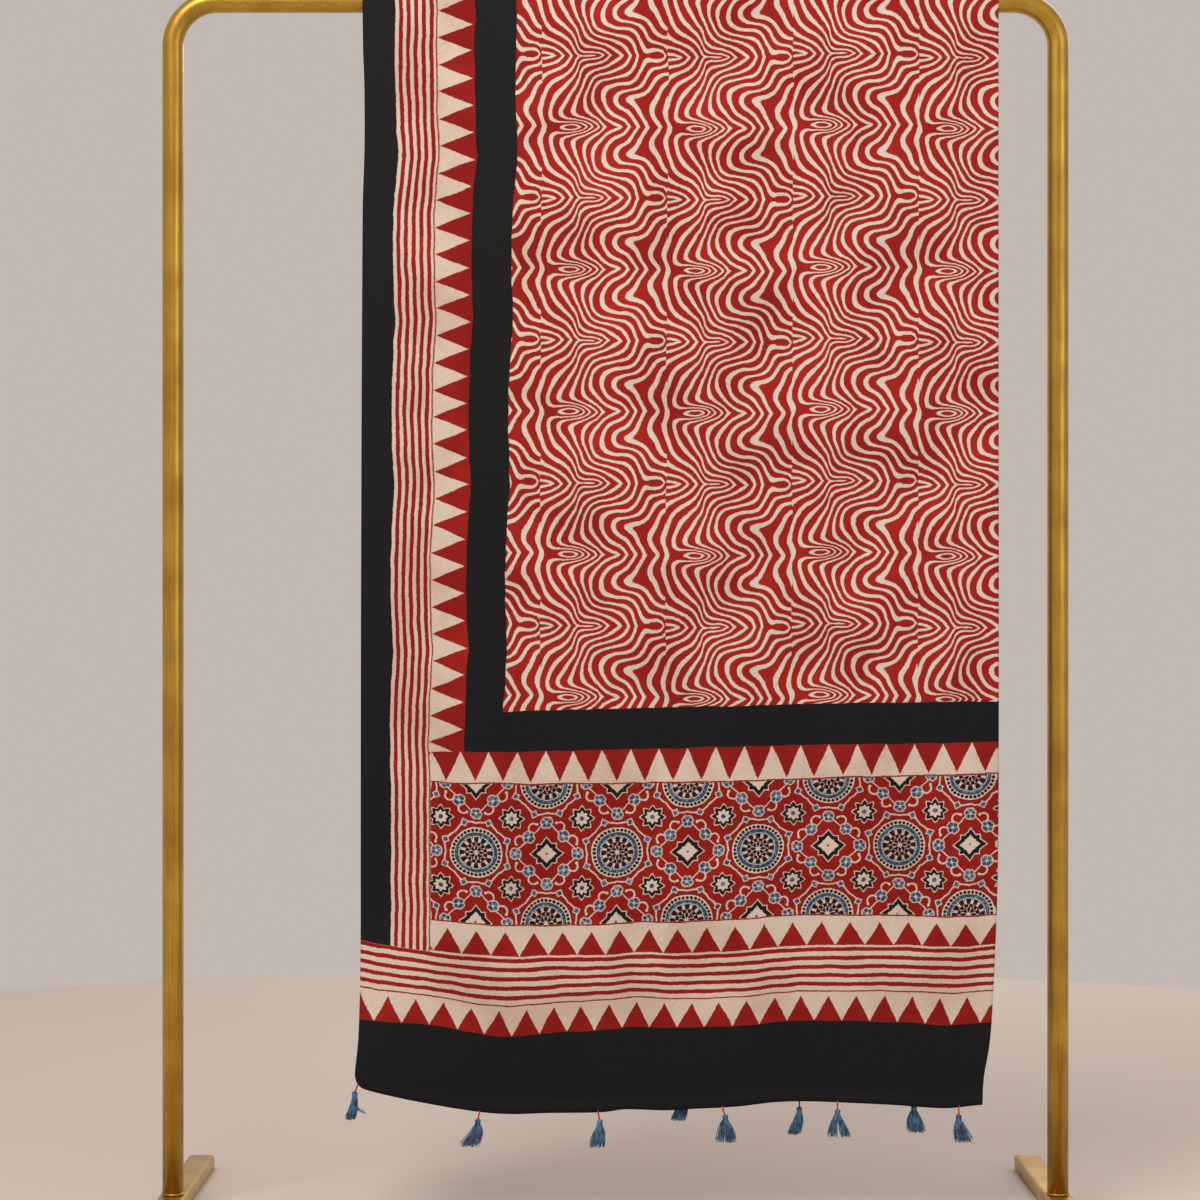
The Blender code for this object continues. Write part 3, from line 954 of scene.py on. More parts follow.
@dataclass(frozen=True)
class GoldPaint:
    """Satin gold paint on steel, a little uneven and rubbed."""

    gold: Colour = paint(205, 165, 62)
    rubbed_gold: Colour = paint(166, 120, 40)
    patch_scale: float = 22.0
    streak_scale: float = 900.0
    streak_length: float = 75.0
    peel_scale: float = 620.0
    peel_depth: float = 0.00008

    def material(self) -> bpy.types.Material:
        """Make the paint."""
        graph = Graph("satin_gold_paint")
        place = graph.node("ShaderNodeTexCoord").outputs["Object"]
        patch = graph.noise(place, self.patch_scale, 4.0)
        peel = graph.noise(place, self.peel_scale, 2.0)
        across, deep, up = (part * self.streak_scale for part in graph.parts(place))
        rub = graph.noise(graph.place(across, deep, up * (1 / self.streak_length)), 1.0, 2.0)
        worn = (patch * 0.7 + rub * 0.5).scaled(3.0, -1.35)
        colour = graph.blend(worn.shown(), self.gold, self.rubbed_gold)
        return graph.finish(
            Base_Color=colour, Roughness=(patch + rub).scaled(0.16, 0.20), Metallic=0.85,
            Normal=graph.bump(peel, self.peel_depth, 0.35), Coat_Weight=0.25,
            Coat_Roughness=0.25,
        )


@dataclass(frozen=True)
class PaleFloor:
    """A plain pale studio floor."""

    colour: Colour = paint(206, 196, 189)
    scuffed: Colour = paint(198, 188, 180)
    patch_scale: float = 2.0

    def material(self) -> bpy.types.Material:
        """Make the floor's material."""
        graph = Graph("pale_floor")
        place = graph.node("ShaderNodeTexCoord").outputs["Object"]
        patch = graph.noise(place, self.patch_scale, 3.0)
        colour = graph.blend(patch, self.colour, self.scuffed)
        return graph.finish(Base_Color=colour, Roughness=patch.scaled(0.2, 0.65))


def new_piece(
    bm: bmesh.types.BMesh, name: str, material: bpy.types.Material
) -> bpy.types.Object:
    """Turn a bmesh into an object in the scene.

    Args:
        bm: The bmesh, which is used up.
        name: The object's name.
        material: What it is made of.

    Returns:
        The object.
    """
    mesh = bpy.data.meshes.new(name)
    bm.to_mesh(mesh)
    bm.free()
    mesh.materials.append(material)
    piece = bpy.data.objects.new(name, mesh)
    bpy.context.scene.collection.objects.link(piece)
    return piece


def settle(piece: bpy.types.Object, node: str) -> None:
    """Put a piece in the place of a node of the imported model.

    Args:
        piece: The piece.
        node: The node that it stands for.
    """
    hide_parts(node)
    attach(piece, "root")
    log.info("%s: %d faces", piece.name, len(piece.data.polygons))


def smooth_all(bm: bmesh.types.BMesh) -> None:
    """Shade every face smoothly."""
    for face in bm.faces:
        face.smooth = True


def frames_along(path: Sequence[Vector]) -> list[Matrix]:
    """Turn and place a flat ring for each point of a path, with as little twist as can be.

    Args:
        path: The path's points.

    Returns:
        A matrix for each, whose Z axis runs along the path.
    """
    frames = []
    turn = None
    for i, point in enumerate(path):
        ahead = path[min(i + 1, len(path) - 1)]
        behind = path[max(i - 1, 0)]
        tangent = (ahead - behind).normalized()
        if turn is None:
            turn = tangent.to_track_quat("Z", "Y")
        else:
            turn = (turn @ Vector((0, 0, 1))).rotation_difference(tangent) @ turn
        frames.append(Matrix.Translation(point) @ turn.to_matrix().to_4x4())
    return frames


def sweep_tube(
    bm: bmesh.types.BMesh, path: Sequence[Vector], radius: float, sides: int
) -> None:
    """Draw a round tube along a path, closed at both ends.

    Args:
        bm: The bmesh that takes the tube.
        path: The path's points.
        radius: The tube's radius.
        sides: How many sides it has.
    """
    frames = frames_along(path)
    start = bmesh.ops.create_circle(
        bm, cap_ends=True, radius=radius, segments=sides, matrix=frames[0]
    )
    verts = start["verts"]
    edges = list({edge for vert in verts for edge in vert.link_edges})
    for before, after in zip(frames, frames[1:]):
        grown = bmesh.ops.extrude_edge_only(bm, edges=edges)["geom"]
        verts = [item for item in grown if isinstance(item, bmesh.types.BMVert)]
        ring = set(verts)
        edges = [
            item for item in grown
            if isinstance(item, bmesh.types.BMEdge) and ring.issuperset(item.verts)
        ]
        bmesh.ops.transform(bm, matrix=after @ before.inverted(), verts=verts)
    bmesh.ops.contextual_create(bm, geom=edges)


@dataclass(frozen=True)
class Wave:
    """A soft wave across the hanging cloth."""

    depth: float
    width: float
    phase: float


@dataclass(frozen=True)
class Crease:
    """A soft ridge or trough: where it starts and ends on the cloth."""

    across: float
    along: float
    to_across: float
    to_along: float
    width: float
    depth: float
    fade: float = 0.2

    def at(self, across: float, along: float) -> float:
        """How far the crease lifts a point of the cloth."""
        run = Vector((self.to_across - self.across, self.to_along - self.along))
        place = Vector((across - self.across, along - self.along))
        share = min(max(place.dot(run) / run.length_squared, -self.fade), 1 + self.fade)
        away = (place - run * share).length / self.width
        if away > 3:
            return 0.0
        ends = smooth_step((share + self.fade) / (2 * self.fade))
        ends *= smooth_step((1 + self.fade - share) / (2 * self.fade))
        return self.depth * ends * math.exp(-away * away)


@dataclass(frozen=True)
class PrintedLine:
    """A printed line's distance from the hem and the photo rows that it crosses."""

    from_hem: float
    rows: tuple[float, ...]


@dataclass
class HungCloth:
    """The one cloth, folded once along its length and hung over the rail."""

    width: float = 1.125
    thickness: float = 0.001
    between_hems: float = 0.55
    hem_depth: float = 0.0070
    hem_step: float = 0.0005
    outer_layer: float = 0.570
    drape_radius: float = 0.0105
    rail_height: float = 1.0922
    front_hem_height: float = 0.0940
    corner_radius: float = 0.0090
    corner_reach: float = 0.0300
    back_hem_height: float = 0.1550
    gap_at_rail: float = 0.0024
    gap_at_hem: float = 0.0090
    fold_radius_at_hem: float = 0.0035
    fold_opening: float = 0.060
    raised_reach: float = 0.400
    wave_start: float = 0.060
    curl_depth: float = 0.030
    curl_width: float = 0.130
    curl_height: float = 0.190
    front_cell: float = 0.0060
    back_cell: float = 0.0115
    corner_columns: int = 6
    fold_columns: int = 10
    rail_rows: int = 18
    side_drift: float = 0.085
    cusp_pitch: float = 0.1485
    cusp_start: float = 0.8573
    cusp_depth: float = 0.0030
    cusp_middle: float = 0.35
    cusps_from_side: float = 0.020
    cusps_from_end: float = 0.280
    cusps_full: float = 0.050
    drift_end: float = 0.322
    true_print: float = 0.460
    photo_pixel: float = 0.0009
    photo_floor_row: float = 1213.0
    photo_distance: float = 2.600
    camera_distance: float = 2.613
    camera_height: float = 0.5517
    sight_rounds: int = 12
    front_waves: tuple[Wave, ...] = (Wave(0.0040, 0.270, 0.6), Wave(0.0020, 0.118, 2.1))
    back_waves: tuple[Wave, ...] = (Wave(0.0045, 0.310, 2.4), Wave(0.0020, 0.140, 0.3))
    creases: tuple[Crease, ...] = (
        Crease(0.4545, 0.040, 0.4500, 0.012, 0.005, 0.0011),
        Crease(0.0200, 0.150, 0.0450, 0.010, 0.014, 0.0012),
        Crease(0.1600, 0.950, 0.1900, 0.420, 0.022, 0.0007),
        Crease(0.3050, 0.960, 0.2850, 0.500, 0.025, -0.0006),
        Crease(0.4300, 0.940, 0.4500, 0.300, 0.020, 0.0006),
        Crease(0.0650, 0.930, 0.0600, 0.330, 0.016, -0.0006),
        Crease(0.2400, 0.210, 0.3900, 0.170, 0.018, 0.0006),
        Crease(0.5450, 0.600, 0.5500, 0.080, 0.010, -0.0006),
    )

    def __post_init__(self) -> None:
        """Work out what follows from the sizes."""
        self.front_drop = self.rail_height - self.front_hem_height
        self.back_drop = self.rail_height - self.back_hem_height
        self.over_rail = math.pi * self.drape_radius
        self.length = self.front_drop + self.over_rail + self.back_drop
        self.fold_radius_at_rail = self.gap_at_rail / 2
        self.fold_end = self.outer_layer + math.pi * self.fold_radius_at_rail
        self.left_edge = SmoothTable((
            (0.100, -0.2310), (0.132, -0.2308), (0.160, -0.2284), (0.200, -0.2276),
            (0.300, -0.2280), (0.600, -0.2282), (0.900, -0.2274), (0.960, -0.2258),
            (1.015, -0.2260), (1.050, -0.2272), (1.100, -0.2277),
        ))
        self.fold_edge = SmoothTable((
            (0.100, 0.3281), (0.125, 0.3297), (0.150, 0.3341), (0.175, 0.3366),
            (0.240, 0.3399), (0.300, 0.3421), (0.400, 0.3433), (0.800, 0.3443),
            (1.100, 0.3446),
        ))
        self.front_hem = SmoothTable((
            (0.000, 0.0283), (0.018, 0.0222), (0.065, 0.0095), (0.115, -0.0010),
            (0.142, -0.0034), (0.170, -0.0026), (0.226, -0.0002), (0.245, 0.0024),
            (0.283, 0.0012), (0.310, 0.0026), (0.350, 0.0047), (0.385, 0.0076),
            (0.432, 0.0076), (0.485, 0.0062), (0.540, 0.0029), (0.570, 0.0060),
            (0.630, 0.0105), (0.650, 0.0055), (0.700, 0.0062), (0.740, 0.0078),
            (0.840, 0.0205), (0.940, 0.0383), (1.125, 0.0520),
        ))
        self.back_hem = SmoothTable((
            (0.000, 0.0090), (0.150, -0.0020), (0.350, 0.0040), (0.570, 0.0010),
            (0.800, 0.0050), (1.125, 0.0070),
        ))
        self.line_stations = (0.0, 0.065, 0.126, 0.216, 0.351, 0.486, 0.570)
        self.printed_lines = (
            PrintedLine(0.0720, (1019, 1025, 1036, 1030, 1025, 1022, 1022)),
            PrintedLine(0.1008, (986, 996, 1006, 1000, 996, 991, 990)),
            PrintedLine(0.1404, (940, 952, 958, 957, 952, 947, 946)),
            PrintedLine(0.1683, (910, 920, 926, 925, 919, 916, 915)),
            PrintedLine(0.2979, (775, 781, 783, 782.5, 780, 775, 772)),
            PrintedLine(0.3240, (754, 752, 752, 750, 746, 743.5, 741.5)),
            PrintedLine(0.3618, (716, 715, 712, 709, 705.5, 702, 701)),
        )

    def wave_depth(self, waves: Sequence[Wave], x: float, drop: float, full: float) -> float:
        """How far soft waves push the cloth outward at a point of it."""
        strength = smooth_step((drop - self.wave_start) / (full - self.wave_start))
        swing = sum(w.depth + w.depth * math.sin(math.tau * x / w.width + w.phase) for w in waves)
        return strength * swing

    def curled(self, x: float, height: float) -> float:
        """How far the front's lower left corner curls forward."""
        sideways = smooth_step((self.left_edge.values[0] + self.curl_width - x) / self.curl_width)
        from_top = self.front_hem_height + self.curl_height - height
        return self.curl_depth * sideways * smooth_step(from_top / self.curl_height)

    def rounded(self, across: float, from_hem: float) -> float:
        """How far the sheet's corners are rounded up at a point."""
        inward = max(self.corner_radius - min(across, self.width - across), 0.0)
        rise = self.corner_radius - math.sqrt(self.corner_radius ** 2 - inward ** 2)
        return rise * (1 - smooth_step(from_hem / self.corner_reach))

    def layer_place(self, across: float, hang: float, radius: float) -> tuple[float, ...]:
        """Where a point across the cloth lies in its two layers.

        Args:
            across: The distance from the front's left selvedge.
            hang: 0 at the rail and 1 at a hem.
            radius: The lengthwise fold's radius there.

        Returns:
            Its share of the way to the fold, its distance past the fold's start and its
            height above the inner layer.
        """
        if across < self.outer_layer:
            gap = mix(self.gap_at_rail, self.gap_at_hem, hang)
            opened = smooth_step((self.outer_layer - across) / self.fold_opening)
            return across / self.outer_layer, 0.0, mix(2 * radius, gap, opened)
        if across > self.fold_end:
            return 1 - (across - self.fold_end) / self.outer_layer, 0.0, 0.0
        turn = math.pi * (across - self.outer_layer) / (self.fold_end - self.outer_layer)
        return 1.0, radius * math.sin(turn), radius * (1 + math.cos(turn))

    def at(self, across: float, along: float) -> Vector:
        """The place of a point of the cloth.

        Args:
            across: The distance from the front's left selvedge.
            along: The distance from the front hem.

        Returns:
            Where it hangs.
        """
        in_front = along < self.front_drop + self.over_rail / 2
        drop = self.front_drop - along if in_front else along - self.front_drop - self.over_rail
        full = self.front_drop if in_front else self.back_drop
        hang = smooth_step(drop / full)
        radius = mix(self.fold_radius_at_rail, self.fold_radius_at_hem, hang)
        share, past_fold, above = self.layer_place(across, hang, radius)
        hem = self.front_hem if in_front else self.back_hem
        raised = hem.at(across) * (1 - smooth_step((full - drop) / self.raised_reach))
        height = self.rail_height - max(drop, 0.0) + raised + self.rounded(across, full - drop)
        x = mix(self.left_edge.at(height), self.fold_edge.at(height) - radius, share) + past_fold
        outward = self.drape_radius + above
        if drop < 0:
            turn = math.pi * (along - self.front_drop) / self.over_rail
            return Vector(
                (x, -outward * math.cos(turn), self.rail_height + outward * math.sin(turn))
            )
        waves = self.front_waves if in_front else self.back_waves
        outward += self.wave_depth(waves, x, drop, full)
        if in_front and across < self.outer_layer:
            outward += self.curled(x, height)
            outward += sum(crease.at(across, along) for crease in self.creases)
        return Vector((x, -outward if in_front else outward, height))

    def columns(self) -> list[float]:
        """The grid's distances across the cloth, finer on the layer that shows."""
        corner = steps(0.0, self.corner_radius, self.corner_columns)
        outer = steps(corner[-1], self.outer_layer, round(self.outer_layer / self.front_cell))
        fold = steps(self.outer_layer, self.fold_end, self.fold_columns)
        inner = steps(self.fold_end, self.width, round(self.outer_layer / self.back_cell))
        return corner + outer[1:] + fold[1:] + inner[1:]

    def rows(self) -> list[float]:
        """The grid's distances along the cloth, finer in front, with a line at each hem."""
        hem = [0.0, self.hem_depth / 2, self.hem_depth, self.hem_depth + self.hem_step]
        rail_end = self.front_drop + self.over_rail
        front = steps(hem[-1], self.front_drop, round(self.front_drop / self.front_cell))
        rail = steps(self.front_drop, rail_end, self.rail_rows)
        back = steps(rail_end, self.length - hem[-1], round(self.back_drop / self.back_cell))
        ends = [self.length - place for place in reversed(hem)]
        return hem + front[1:] + rail[1:] + back[1:] + ends[1:]

    def line_height(self, line: PrintedLine, station: int) -> float:
        """The distance along the cloth at which a printed line crosses a station."""
        across = self.line_stations[station]
        seen = (self.photo_floor_row - line.rows[station]) * self.photo_pixel
        raised = self.front_hem.at(across)
        along = seen - self.front_hem_height
        for _ in range(self.sight_rounds):
            nearness = (self.camera_distance + self.at(across, along).y) / self.photo_distance
            height = self.camera_height + (seen - self.camera_height) * nearness
            fade = 1 - smooth_step(along / self.raised_reach)
            along = height - self.front_hem_height - raised * fade
        return along

    def print_places(self, columns: Sequence[float], rows: Sequence[float]) -> list[list[Point]]:
        """Where the print's own measures fall at each point of the grid.

        Args:
            columns: The grid's distances across.
            rows: The grid's distances along.

        Returns:
            For each column, the printed distances from the side and from the end, by row.
        """
        drifts = []
        for line in self.printed_lines:
            points = [
                (place, line.from_hem - self.line_height(line, i))
                for i, place in enumerate(self.line_stations)
            ]
            drifts.append((line.from_hem, SmoothTable(points)))
        places = []
        for across in columns:
            side = min(across, self.width - across)
            knots = [(0.0, 0.0)]
            for from_hem, drift in drifts:
                shift = drift.at(side)
                knots.append((from_hem - shift, shift))
            knots.append((self.true_print, 0.0))
            shift_at = SmoothTable(knots)
            column = []
            for along in rows:
                end = min(along, self.length - along)
                column.append((self.printed_side(side, end), end + shift_at.at(end)))
            places.append(column)
        return places

    def printed_side(self, side: float, end: float) -> float:
        """The printed distance from the selvedge, which runs off as the blocks go down."""
        drift = min(max((self.front_drop - end) / (self.front_drop - self.drift_end), 0.0), 1.0)
        cusp = abs(2 * (((self.cusp_start - end) / self.cusp_pitch) % 1.0) - 1)
        strength = smooth_step(side / self.cusps_from_side)
        strength *= smooth_step((end - self.cusps_from_end) / self.cusps_full)
        bent = self.cusp_depth * strength * (cusp * cusp - self.cusp_middle)
        return side * (1 + self.side_drift * drift) - bent

    def build(self, material: bpy.types.Material, rests_on: str) -> bpy.types.Object:
        """Make the cloth.

        Args:
            material: The printed cotton.
            rests_on: The name of the piece that it hangs over. It is not used.

        Returns:
            The cloth.
        """
        columns = self.columns()
        rows = self.rows()
        printed = self.print_places(columns, rows)
        bm = bmesh.new()
        bmesh.ops.create_grid(
            bm, x_segments=len(columns) - 1, y_segments=len(rows) - 1, size=0.5
        )
        bm.verts.index_update()
        cells = []
        for vert in bm.verts:
            column = round((vert.co.x + 0.5) * (len(columns) - 1))
            row = round((vert.co.y + 0.5) * (len(rows) - 1))
            cells.append((column, row))
            vert.co = self.at(columns[column], rows[row])
        woven_layer = bm.loops.layers.uv.new("cloth")
        print_layer = bm.loops.layers.uv.new("print")
        for face in bm.faces:
            face.smooth = True
            for loop in face.loops:
                column, row = cells[loop.vert.index]
                loop[woven_layer].uv = (columns[column], rows[row])
                loop[print_layer].uv = printed[column][row]
        piece = new_piece(bm, "cloth_sheet", material)
        hem = piece.vertex_groups.new(name="hem")
        turned = [
            i for i, (_, row) in enumerate(cells)
            if min(rows[row], self.length - rows[row]) < self.hem_depth + self.hem_step / 5
        ]
        hem.add(turned, 1.0, "REPLACE")
        solidify = piece.modifiers.new("Thickness", "SOLIDIFY")
        solidify.thickness = self.thickness
        solidify.offset = 0.0
        solidify.vertex_group = "hem"
        solidify.thickness_vertex_group = self.between_hems
        settle(piece, "cloth")
        return piece


@dataclass(frozen=True)
class TasselPlace:
    """Where a tassel hangs and how its skirt falls."""

    across: float
    sweep: float
    half_width: float
    half_depth: float
    lean: float = 0.0
    parted: float = 0.0
    stray: float = 0.0


@dataclass
class Tassels:
    """The thread tassels along both hems, each with the loop that sews it on."""

    cloth: HungCloth
    loop_length: float = 0.0061
    thread_radius: float = 0.00033
    thread_count: int = 150
    stray_count: int = 14
    stray_start: float = 0.62
    stray_step: float = 0.01
    stray_spread: float = 0.0001
    thread_wave: float = 0.0005
    uneven_ends: float = 0.0022
    head_profile: tuple[Point, ...] = (
        (0.0001, 0.0), (0.0012, -0.0002), (0.0022, -0.0008), (0.0027, -0.0018),
        (0.0026, -0.0029), (0.0021, -0.0038), (0.0020, -0.0048), (0.0024, -0.0058),
    )
    head_ridges: int = 24
    ridge_depth: float = 0.035
    neck_radius: float = 0.00195
    wrap_turns: int = 3
    wrap_steps: int = 16
    wrap_top: float = 0.0037
    wrap_pitch: float = 0.0004
    wrap_radius: float = 0.00225
    wrap_thread: float = 0.00026
    skirt_top: float = 0.0040
    skirt_end: float = 0.0254
    skirt_spread: float = 1.7
    skirt_core: float = 0.02
    wave_turn: float = 6.0
    round_sides: int = 48
    wrap_sides: int = 6
    ply_sides: int = 8
    ply_radius: float = 0.00052
    twist_radius: float = 0.00040
    twist_ends: Point = (0.0010, 0.0006)
    stitch: tuple[tuple[float, float, float], ...] = (
        (0.0001, 0.85, 0.0001), (0.0, 1.0, 0.0005), (0.0, 1.0, 0.0010), (0.0, 0.35, 0.0015),
    )
    places: tuple[TasselPlace, ...] = (
        TasselPlace(0.003, -0.0038, 0.0045, 0.0038, lean=-0.0026, stray=0.0084),
        TasselPlace(0.112, -0.0078, 0.0085, 0.0045, lean=-0.0015),
        TasselPlace(0.221, -0.0030, 0.0070, 0.0045, lean=0.0015),
        TasselPlace(0.335, 0.0005, 0.0100, 0.0045, lean=0.0025),
        TasselPlace(0.441, 0.0015, 0.0085, 0.0045, parted=0.0020),
        TasselPlace(0.552, 0.0045, 0.0080, 0.0045),
        TasselPlace(0.632, 0.0025, 0.0090, 0.0045),
        TasselPlace(0.737, -0.0050, 0.0060, 0.0045),
        TasselPlace(0.845, -0.0045, 0.0070, 0.0040),
        TasselPlace(0.945, 0.0010, 0.0080, 0.0040),
        TasselPlace(1.045, -0.0010, 0.0080, 0.0040),
        TasselPlace(1.115, 0.0010, 0.0070, 0.0040),
    )

    def thread_mesh(self) -> bpy.types.Mesh:
        """One plain three-sided thread, a unit long and a unit in radius."""
        bm = bmesh.new()
        bmesh.ops.create_cone(
            bm, cap_ends=True, segments=3, radius1=0.75, radius2=1.0, depth=1.0,
            matrix=Matrix.Translation((0, 0, -0.5)),
        )
        upright = [edge for edge in bm.edges if abs(edge.verts[0].co.z - edge.verts[1].co.z) > 0.5]
        bmesh.ops.subdivide_edges(bm, edges=upright, cuts=6)
        smooth_all(bm)
        mesh = bpy.data.meshes.new("one_thread")
        bm.to_mesh(mesh)
        bm.free()
        return mesh

    def add_head(self, bm: bmesh.types.BMesh) -> None:
        """Add the ball of folded threads, with its top at the origin."""
        verts = [bm.verts.new((radius, 0.0, height)) for radius, height in self.head_profile]
        edges = [bm.edges.new(pair) for pair in zip(verts, verts[1:])]
        bmesh.ops.spin(
            bm, geom=[*verts, *edges], axis=(0, 0, 1), cent=(0, 0, 0),
            steps=self.round_sides, angle=math.tau, use_merge=True,
        )
        for vert in bm.verts:
            angle = math.atan2(vert.co.y, vert.co.x)
            ridge = 1 + self.ridge_depth * math.cos(self.head_ridges * angle)
            vert.co.x *= ridge
            vert.co.y *= ridge

    def add_wrap(self, bm: bmesh.types.BMesh) -> None:
        """Add the thread that is wound round the neck."""
        path = []
        for turn in steps(0.0, float(self.wrap_turns), self.wrap_turns * self.wrap_steps):
            flat = Matrix.Rotation(math.tau * turn, 2) @ Vector((self.wrap_radius, 0.0))
            path.append(Vector((*flat, -self.wrap_top - self.wrap_pitch * turn)))
        sweep_tube(bm, path, self.wrap_thread, self.wrap_sides)

    def add_skirt(
        self, bm: bmesh.types.BMesh, thread: bpy.types.Mesh, place: TasselPlace, seed: int
    ) -> None:
        """Add the hanging threads.

        Args:
            bm: The tassel's bmesh.
            thread: One plain thread.
            place: How this tassel's skirt falls.
            seed: What makes this tassel's threads its own.
        """
        chance = random.Random(seed)
        for number in range(self.thread_count):
            first = len(bm.verts)
            bm.from_mesh(thread)
            bm.verts.ensure_lookup_table()
            angle = chance.uniform(0, math.tau)
            ring = math.sqrt(chance.uniform(self.skirt_core, 1.0))
            root = Vector((math.cos(angle), math.sin(angle))) * ring * self.neck_radius
            tip = Vector((
                place.half_width * ring * math.cos(angle), place.half_depth * ring * math.sin(angle)
            ))
            parted = place.parted * (1 if tip.x > 0 else -1)
            end = self.skirt_end - chance.uniform(0.0, self.uneven_ends) * (1 + ring)
            is_stray = place.stray > 0 and number < self.stray_count
            if is_stray:
                tip.x = place.stray - place.sweep + self.stray_spread * number
                reach = self.stray_start + self.stray_step * number
                end = mix(self.skirt_top, self.skirt_end, reach)
            wave = Vector((chance.uniform(-1, 1), chance.uniform(-1, 1))) * self.thread_wave
            phase = chance.uniform(0, math.tau)
            turn = Matrix.Rotation(chance.uniform(0, math.tau), 2)
            for vert in bm.verts[first:]:
                share = -vert.co.z
                spread = share ** 4 if is_stray else 1 - (1 - share) ** self.skirt_spread
                centre = root.lerp(tip, spread)
                centre += wave * math.sin(phase + share * self.wave_turn) * share
                centre.x += (place.sweep + parted) * share ** 2
                offset = turn @ Vector((vert.co.x, vert.co.y)) * self.thread_radius
                vert.co = (
                    centre.x + offset.x, centre.y + offset.y, -mix(self.skirt_top, end, share)
                )

    def add_loop(self, bm: bmesh.types.BMesh, lean: float) -> None:
        """Add the two twisted threads that hang under the hem and grip it at both faces.

        Args:
            bm: The loop's bmesh.
            lean: How far sideways its lower end hangs.
        """
        grip = self.cloth.thickness / 2 + self.ply_radius
        for side in (-1, 1):
            path = []
            for share in steps(0.0, 1.0, 12):
                angle = math.pi * (0.5 + 2.0 * share) + (0 if side > 0 else math.pi)
                path.append(Vector((
                    lean * (1 - share) + self.twist_radius * math.cos(angle),
                    self.twist_radius * math.sin(angle),
                    -self.loop_length * (1 - share) - mix(*self.twist_ends, share),
                )))
            path += [
                Vector((across * side, side * grip * reach, rise))
                for across, reach, rise in self.stitch
            ]
            sweep_tube(bm, path, self.ply_radius, self.ply_sides)

    def build(self, blue: bpy.types.Material, red: bpy.types.Material) -> None:
        """Make every tassel and every loop.

        Args:
            blue: The tassels' thread.
            red: The loops' thread.
        """
        thread = self.thread_mesh()
        for end, along in (("front", 0.0), ("back", self.cloth.length)):
            for number, place in enumerate(self.places, start=1):
                hem = self.cloth.at(place.across, along)
                bm = bmesh.new()
                self.add_head(bm)
                self.add_wrap(bm)
                self.add_skirt(bm, thread, place, seed=number + (40 if end == "back" else 0))
                smooth_all(bm)
                bmesh.ops.translate(
                    bm, vec=hem + Vector((place.lean, 0, -self.loop_length)), verts=bm.verts
                )
                tassel = new_piece(bm, f"tassel_threads_{end}_{number:02d}", blue)
                settle(tassel, f"tassel_{end}_{number:02d}")
                bm = bmesh.new()
                self.add_loop(bm, place.lean)
                bmesh.ops.recalc_face_normals(bm, faces=bm.faces)
                smooth_all(bm)
                bmesh.ops.translate(bm, vec=hem, verts=bm.verts)
                loop = new_piece(bm, f"loop_threads_{end}_{number:02d}", red)
                settle(loop, f"tassel_loop_{end}_{number:02d}")
        bpy.data.meshes.remove(thread)


@dataclass
class ClothesRack:
    """The plain rack: one bent tube on two foot bars."""

    tube_radius: float = 0.0095
    upright_x: float = 0.400
    rail_height: float = 1.0922
    bend_radius: float = 0.040
    bend_steps: int = 20
    upright_steps: int = 4
    tube_sides: int = 48
    foot_size: tuple[float, float, float] = (0.025, 0.380, 0.014)
    foot_rounding: float = 0.003
    joint_gap: float = 0.0003
    bead_radius: float = 0.0011
    bead_sides: int = 10

    def tube_path(self) -> list[Vector]:
        """The tube's centre line, up one side, along the rail and down the other."""
        bottom = self.foot_size[2] + self.joint_gap
        top = self.rail_height - self.bend_radius
        end = self.upright_x - self.bend_radius
        heights = steps(bottom, top, self.upright_steps)[:-1]
        path = [Vector((-self.upright_x, 0.0, height)) for height in heights]
        for side in (-1, 1):
            bend = [
                Vector((
                    side * (end + self.bend_radius * math.cos(turn)), 0.0,
                    top + self.bend_radius * math.sin(turn),
                ))
                for turn in steps(0.0, math.pi / 2, self.bend_steps)
            ]
            path += bend if side < 0 else bend[::-1]
        return path + [Vector((self.upright_x, 0.0, height)) for height in heights[::-1]]

    def build_tube(self, material: bpy.types.Material) -> bpy.types.Object:
        """Make the tube, with a weld bead round each of its feet."""
        bm = bmesh.new()
        sweep_tube(bm, self.tube_path(), self.tube_radius, self.tube_sides)
        bottom = self.foot_size[2] + self.joint_gap
        for side in (-1, 1):
            middle = Vector((side * self.upright_x, 0.0, bottom + self.bead_radius))
            ring = bmesh.ops.create_circle(
                bm, radius=self.bead_radius, segments=self.bead_sides,
                matrix=Matrix.Translation(middle + Vector((self.tube_radius, 0, 0)))
                @ Matrix.Rotation(math.pi / 2, 4, "X"),
            )["verts"]
            edges = list({edge for vert in ring for edge in vert.link_edges})
            bmesh.ops.spin(
                bm, geom=[*ring, *edges], axis=(0, 0, 1), cent=middle,
                steps=self.tube_sides, angle=math.tau, use_merge=True,
            )
        bmesh.ops.recalc_face_normals(bm, faces=bm.faces)
        smooth_all(bm)
        piece = new_piece(bm, "hoop_tube", material)
        settle(piece, "rack_hoop")
        return piece

    def build_feet(self, material: bpy.types.Material) -> None:
        """Make the two foot bars."""
        for name, side in (("left", -1), ("right", 1)):
            bm = bmesh.new()
            place = Matrix.Translation((side * self.upright_x, 0.0, self.foot_size[2] / 2))
            size = Matrix.Diagonal((*self.foot_size, 1.0))
            bmesh.ops.create_cube(bm, size=1.0, matrix=place @ size)
            bmesh.ops.bevel(
                bm, geom=bm.edges[:], affect="EDGES", offset=self.foot_rounding, segments=4,
                profile=0.5, material=-1,
            )
            smooth_all(bm)
            piece = new_piece(bm, f"foot_bar_{name}", material)
            settle(piece, f"rack_foot_{name}")


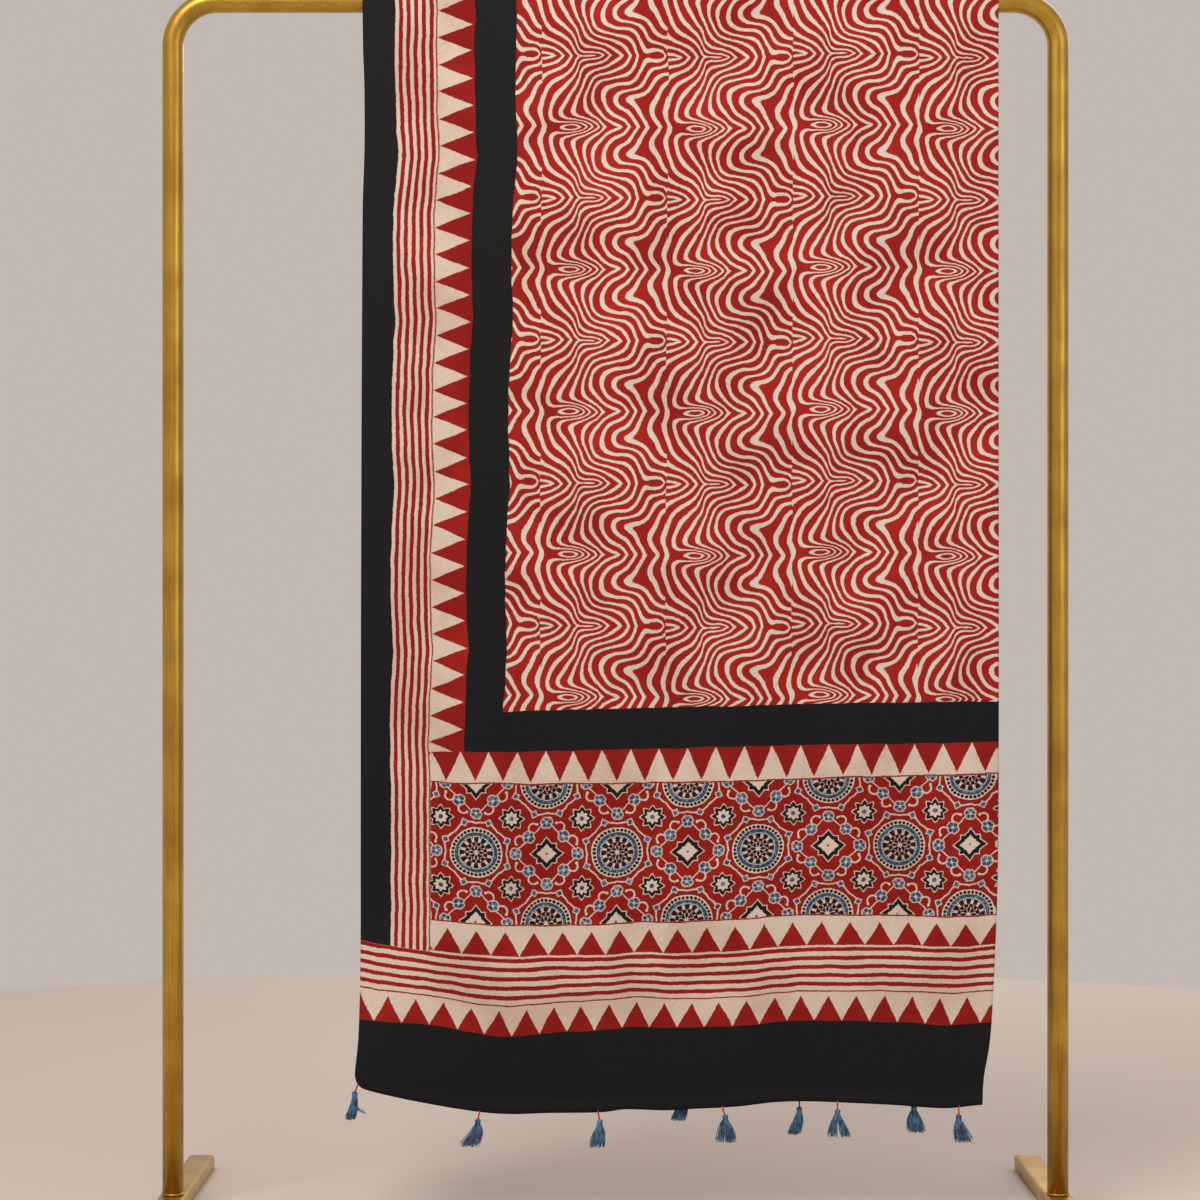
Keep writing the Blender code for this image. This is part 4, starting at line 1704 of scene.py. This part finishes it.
@dataclass(frozen=True)
class Lamp:
    """A soft square light: its place, its width, its power in watts and its colour."""

    name: str
    place: tuple[float, float, float]
    size: float
    power: float
    colour: Colour


@dataclass
class Studio:
    """The floor, the light and the camera."""

    floor_radius: float = 1.7
    room_light: Colour = paint(224, 213, 205)
    room_strength: float = 0.72
    lit_place: tuple[float, float, float] = (0.05, 0.0, 0.60)
    lamps: tuple[Lamp, ...] = (
        Lamp("key", (-0.8, -1.5, 2.5), 1.2, 40.0, paint(255, 246, 238)),
        Lamp("fill", (2.2, -2.0, 1.3), 1.6, 12.0, paint(244, 246, 255)),
        Lamp("behind", (0.8, 2.6, 2.2), 1.4, 30.0, paint(255, 248, 240)),
    )
    camera_place: tuple[float, float, float] = (-0.01395, -2.613, 0.5517)
    lens: float = 86.7
    sensor_width: float = 36.0

    def build_floor(self, material: bpy.types.Material) -> None:
        """Lay the floor."""
        bm = bmesh.new()
        bmesh.ops.create_circle(bm, cap_ends=True, radius=self.floor_radius, segments=96)
        floor = new_piece(bm, "floor", material)

    def add_lamp(self, lamp: Lamp) -> None:
        """Add a lamp that faces the cloth."""
        data = bpy.data.lights.new(lamp.name, "AREA")
        data.size = lamp.size
        data.energy = lamp.power
        data.color = lamp.colour[:3]
        light = bpy.data.objects.new(lamp.name, data)
        light.location = lamp.place
        toward = Vector(self.lit_place) - Vector(lamp.place)
        light.rotation_euler = toward.to_track_quat("-Z", "Y").to_euler()
        bpy.context.scene.collection.objects.link(light)

    def build_light(self) -> None:
        """Set the room's light and the lamps."""
        world = bpy.data.worlds.new("studio")
        world.use_nodes = True
        background = world.node_tree.nodes["Background"]
        background.inputs["Color"].default_value = self.room_light
        background.inputs["Strength"].default_value = self.room_strength
        bpy.context.scene.world = world
        for lamp in self.lamps:
            self.add_lamp(lamp)
        bpy.context.scene.view_settings.view_transform = "Standard"

    def build_camera(self) -> None:
        """Set the camera where the photograph was taken from."""
        data = bpy.data.cameras.new("front")
        data.lens = self.lens
        data.sensor_width = self.sensor_width
        camera = bpy.data.objects.new("front", data)
        camera.location = self.camera_place
        camera.rotation_euler = (math.pi / 2, 0.0, 0.0)
        bpy.context.scene.collection.objects.link(camera)
        bpy.context.scene.camera = camera


def main() -> None:
    """Build the studio, the rack, the cloth and its tassels."""
    logging.basicConfig(level=logging.INFO, format="%(message)s")
    studio = Studio()
    studio.build_camera()
    studio.build_light()
    studio.build_floor(PaleFloor().material())
    gold = GoldPaint().material()
    rack = ClothesRack()
    hoop = rack.build_tube(gold)
    rack.build_feet(gold)
    cloth = HungCloth()
    cloth.build(PrintedCotton().material(PrintLayout()), hoop.name)
    Tassels(cloth).build(DyedThread(Dye.BLUE).material(), DyedThread(Dye.RED).material())


if __name__ == "__main__":
    main()
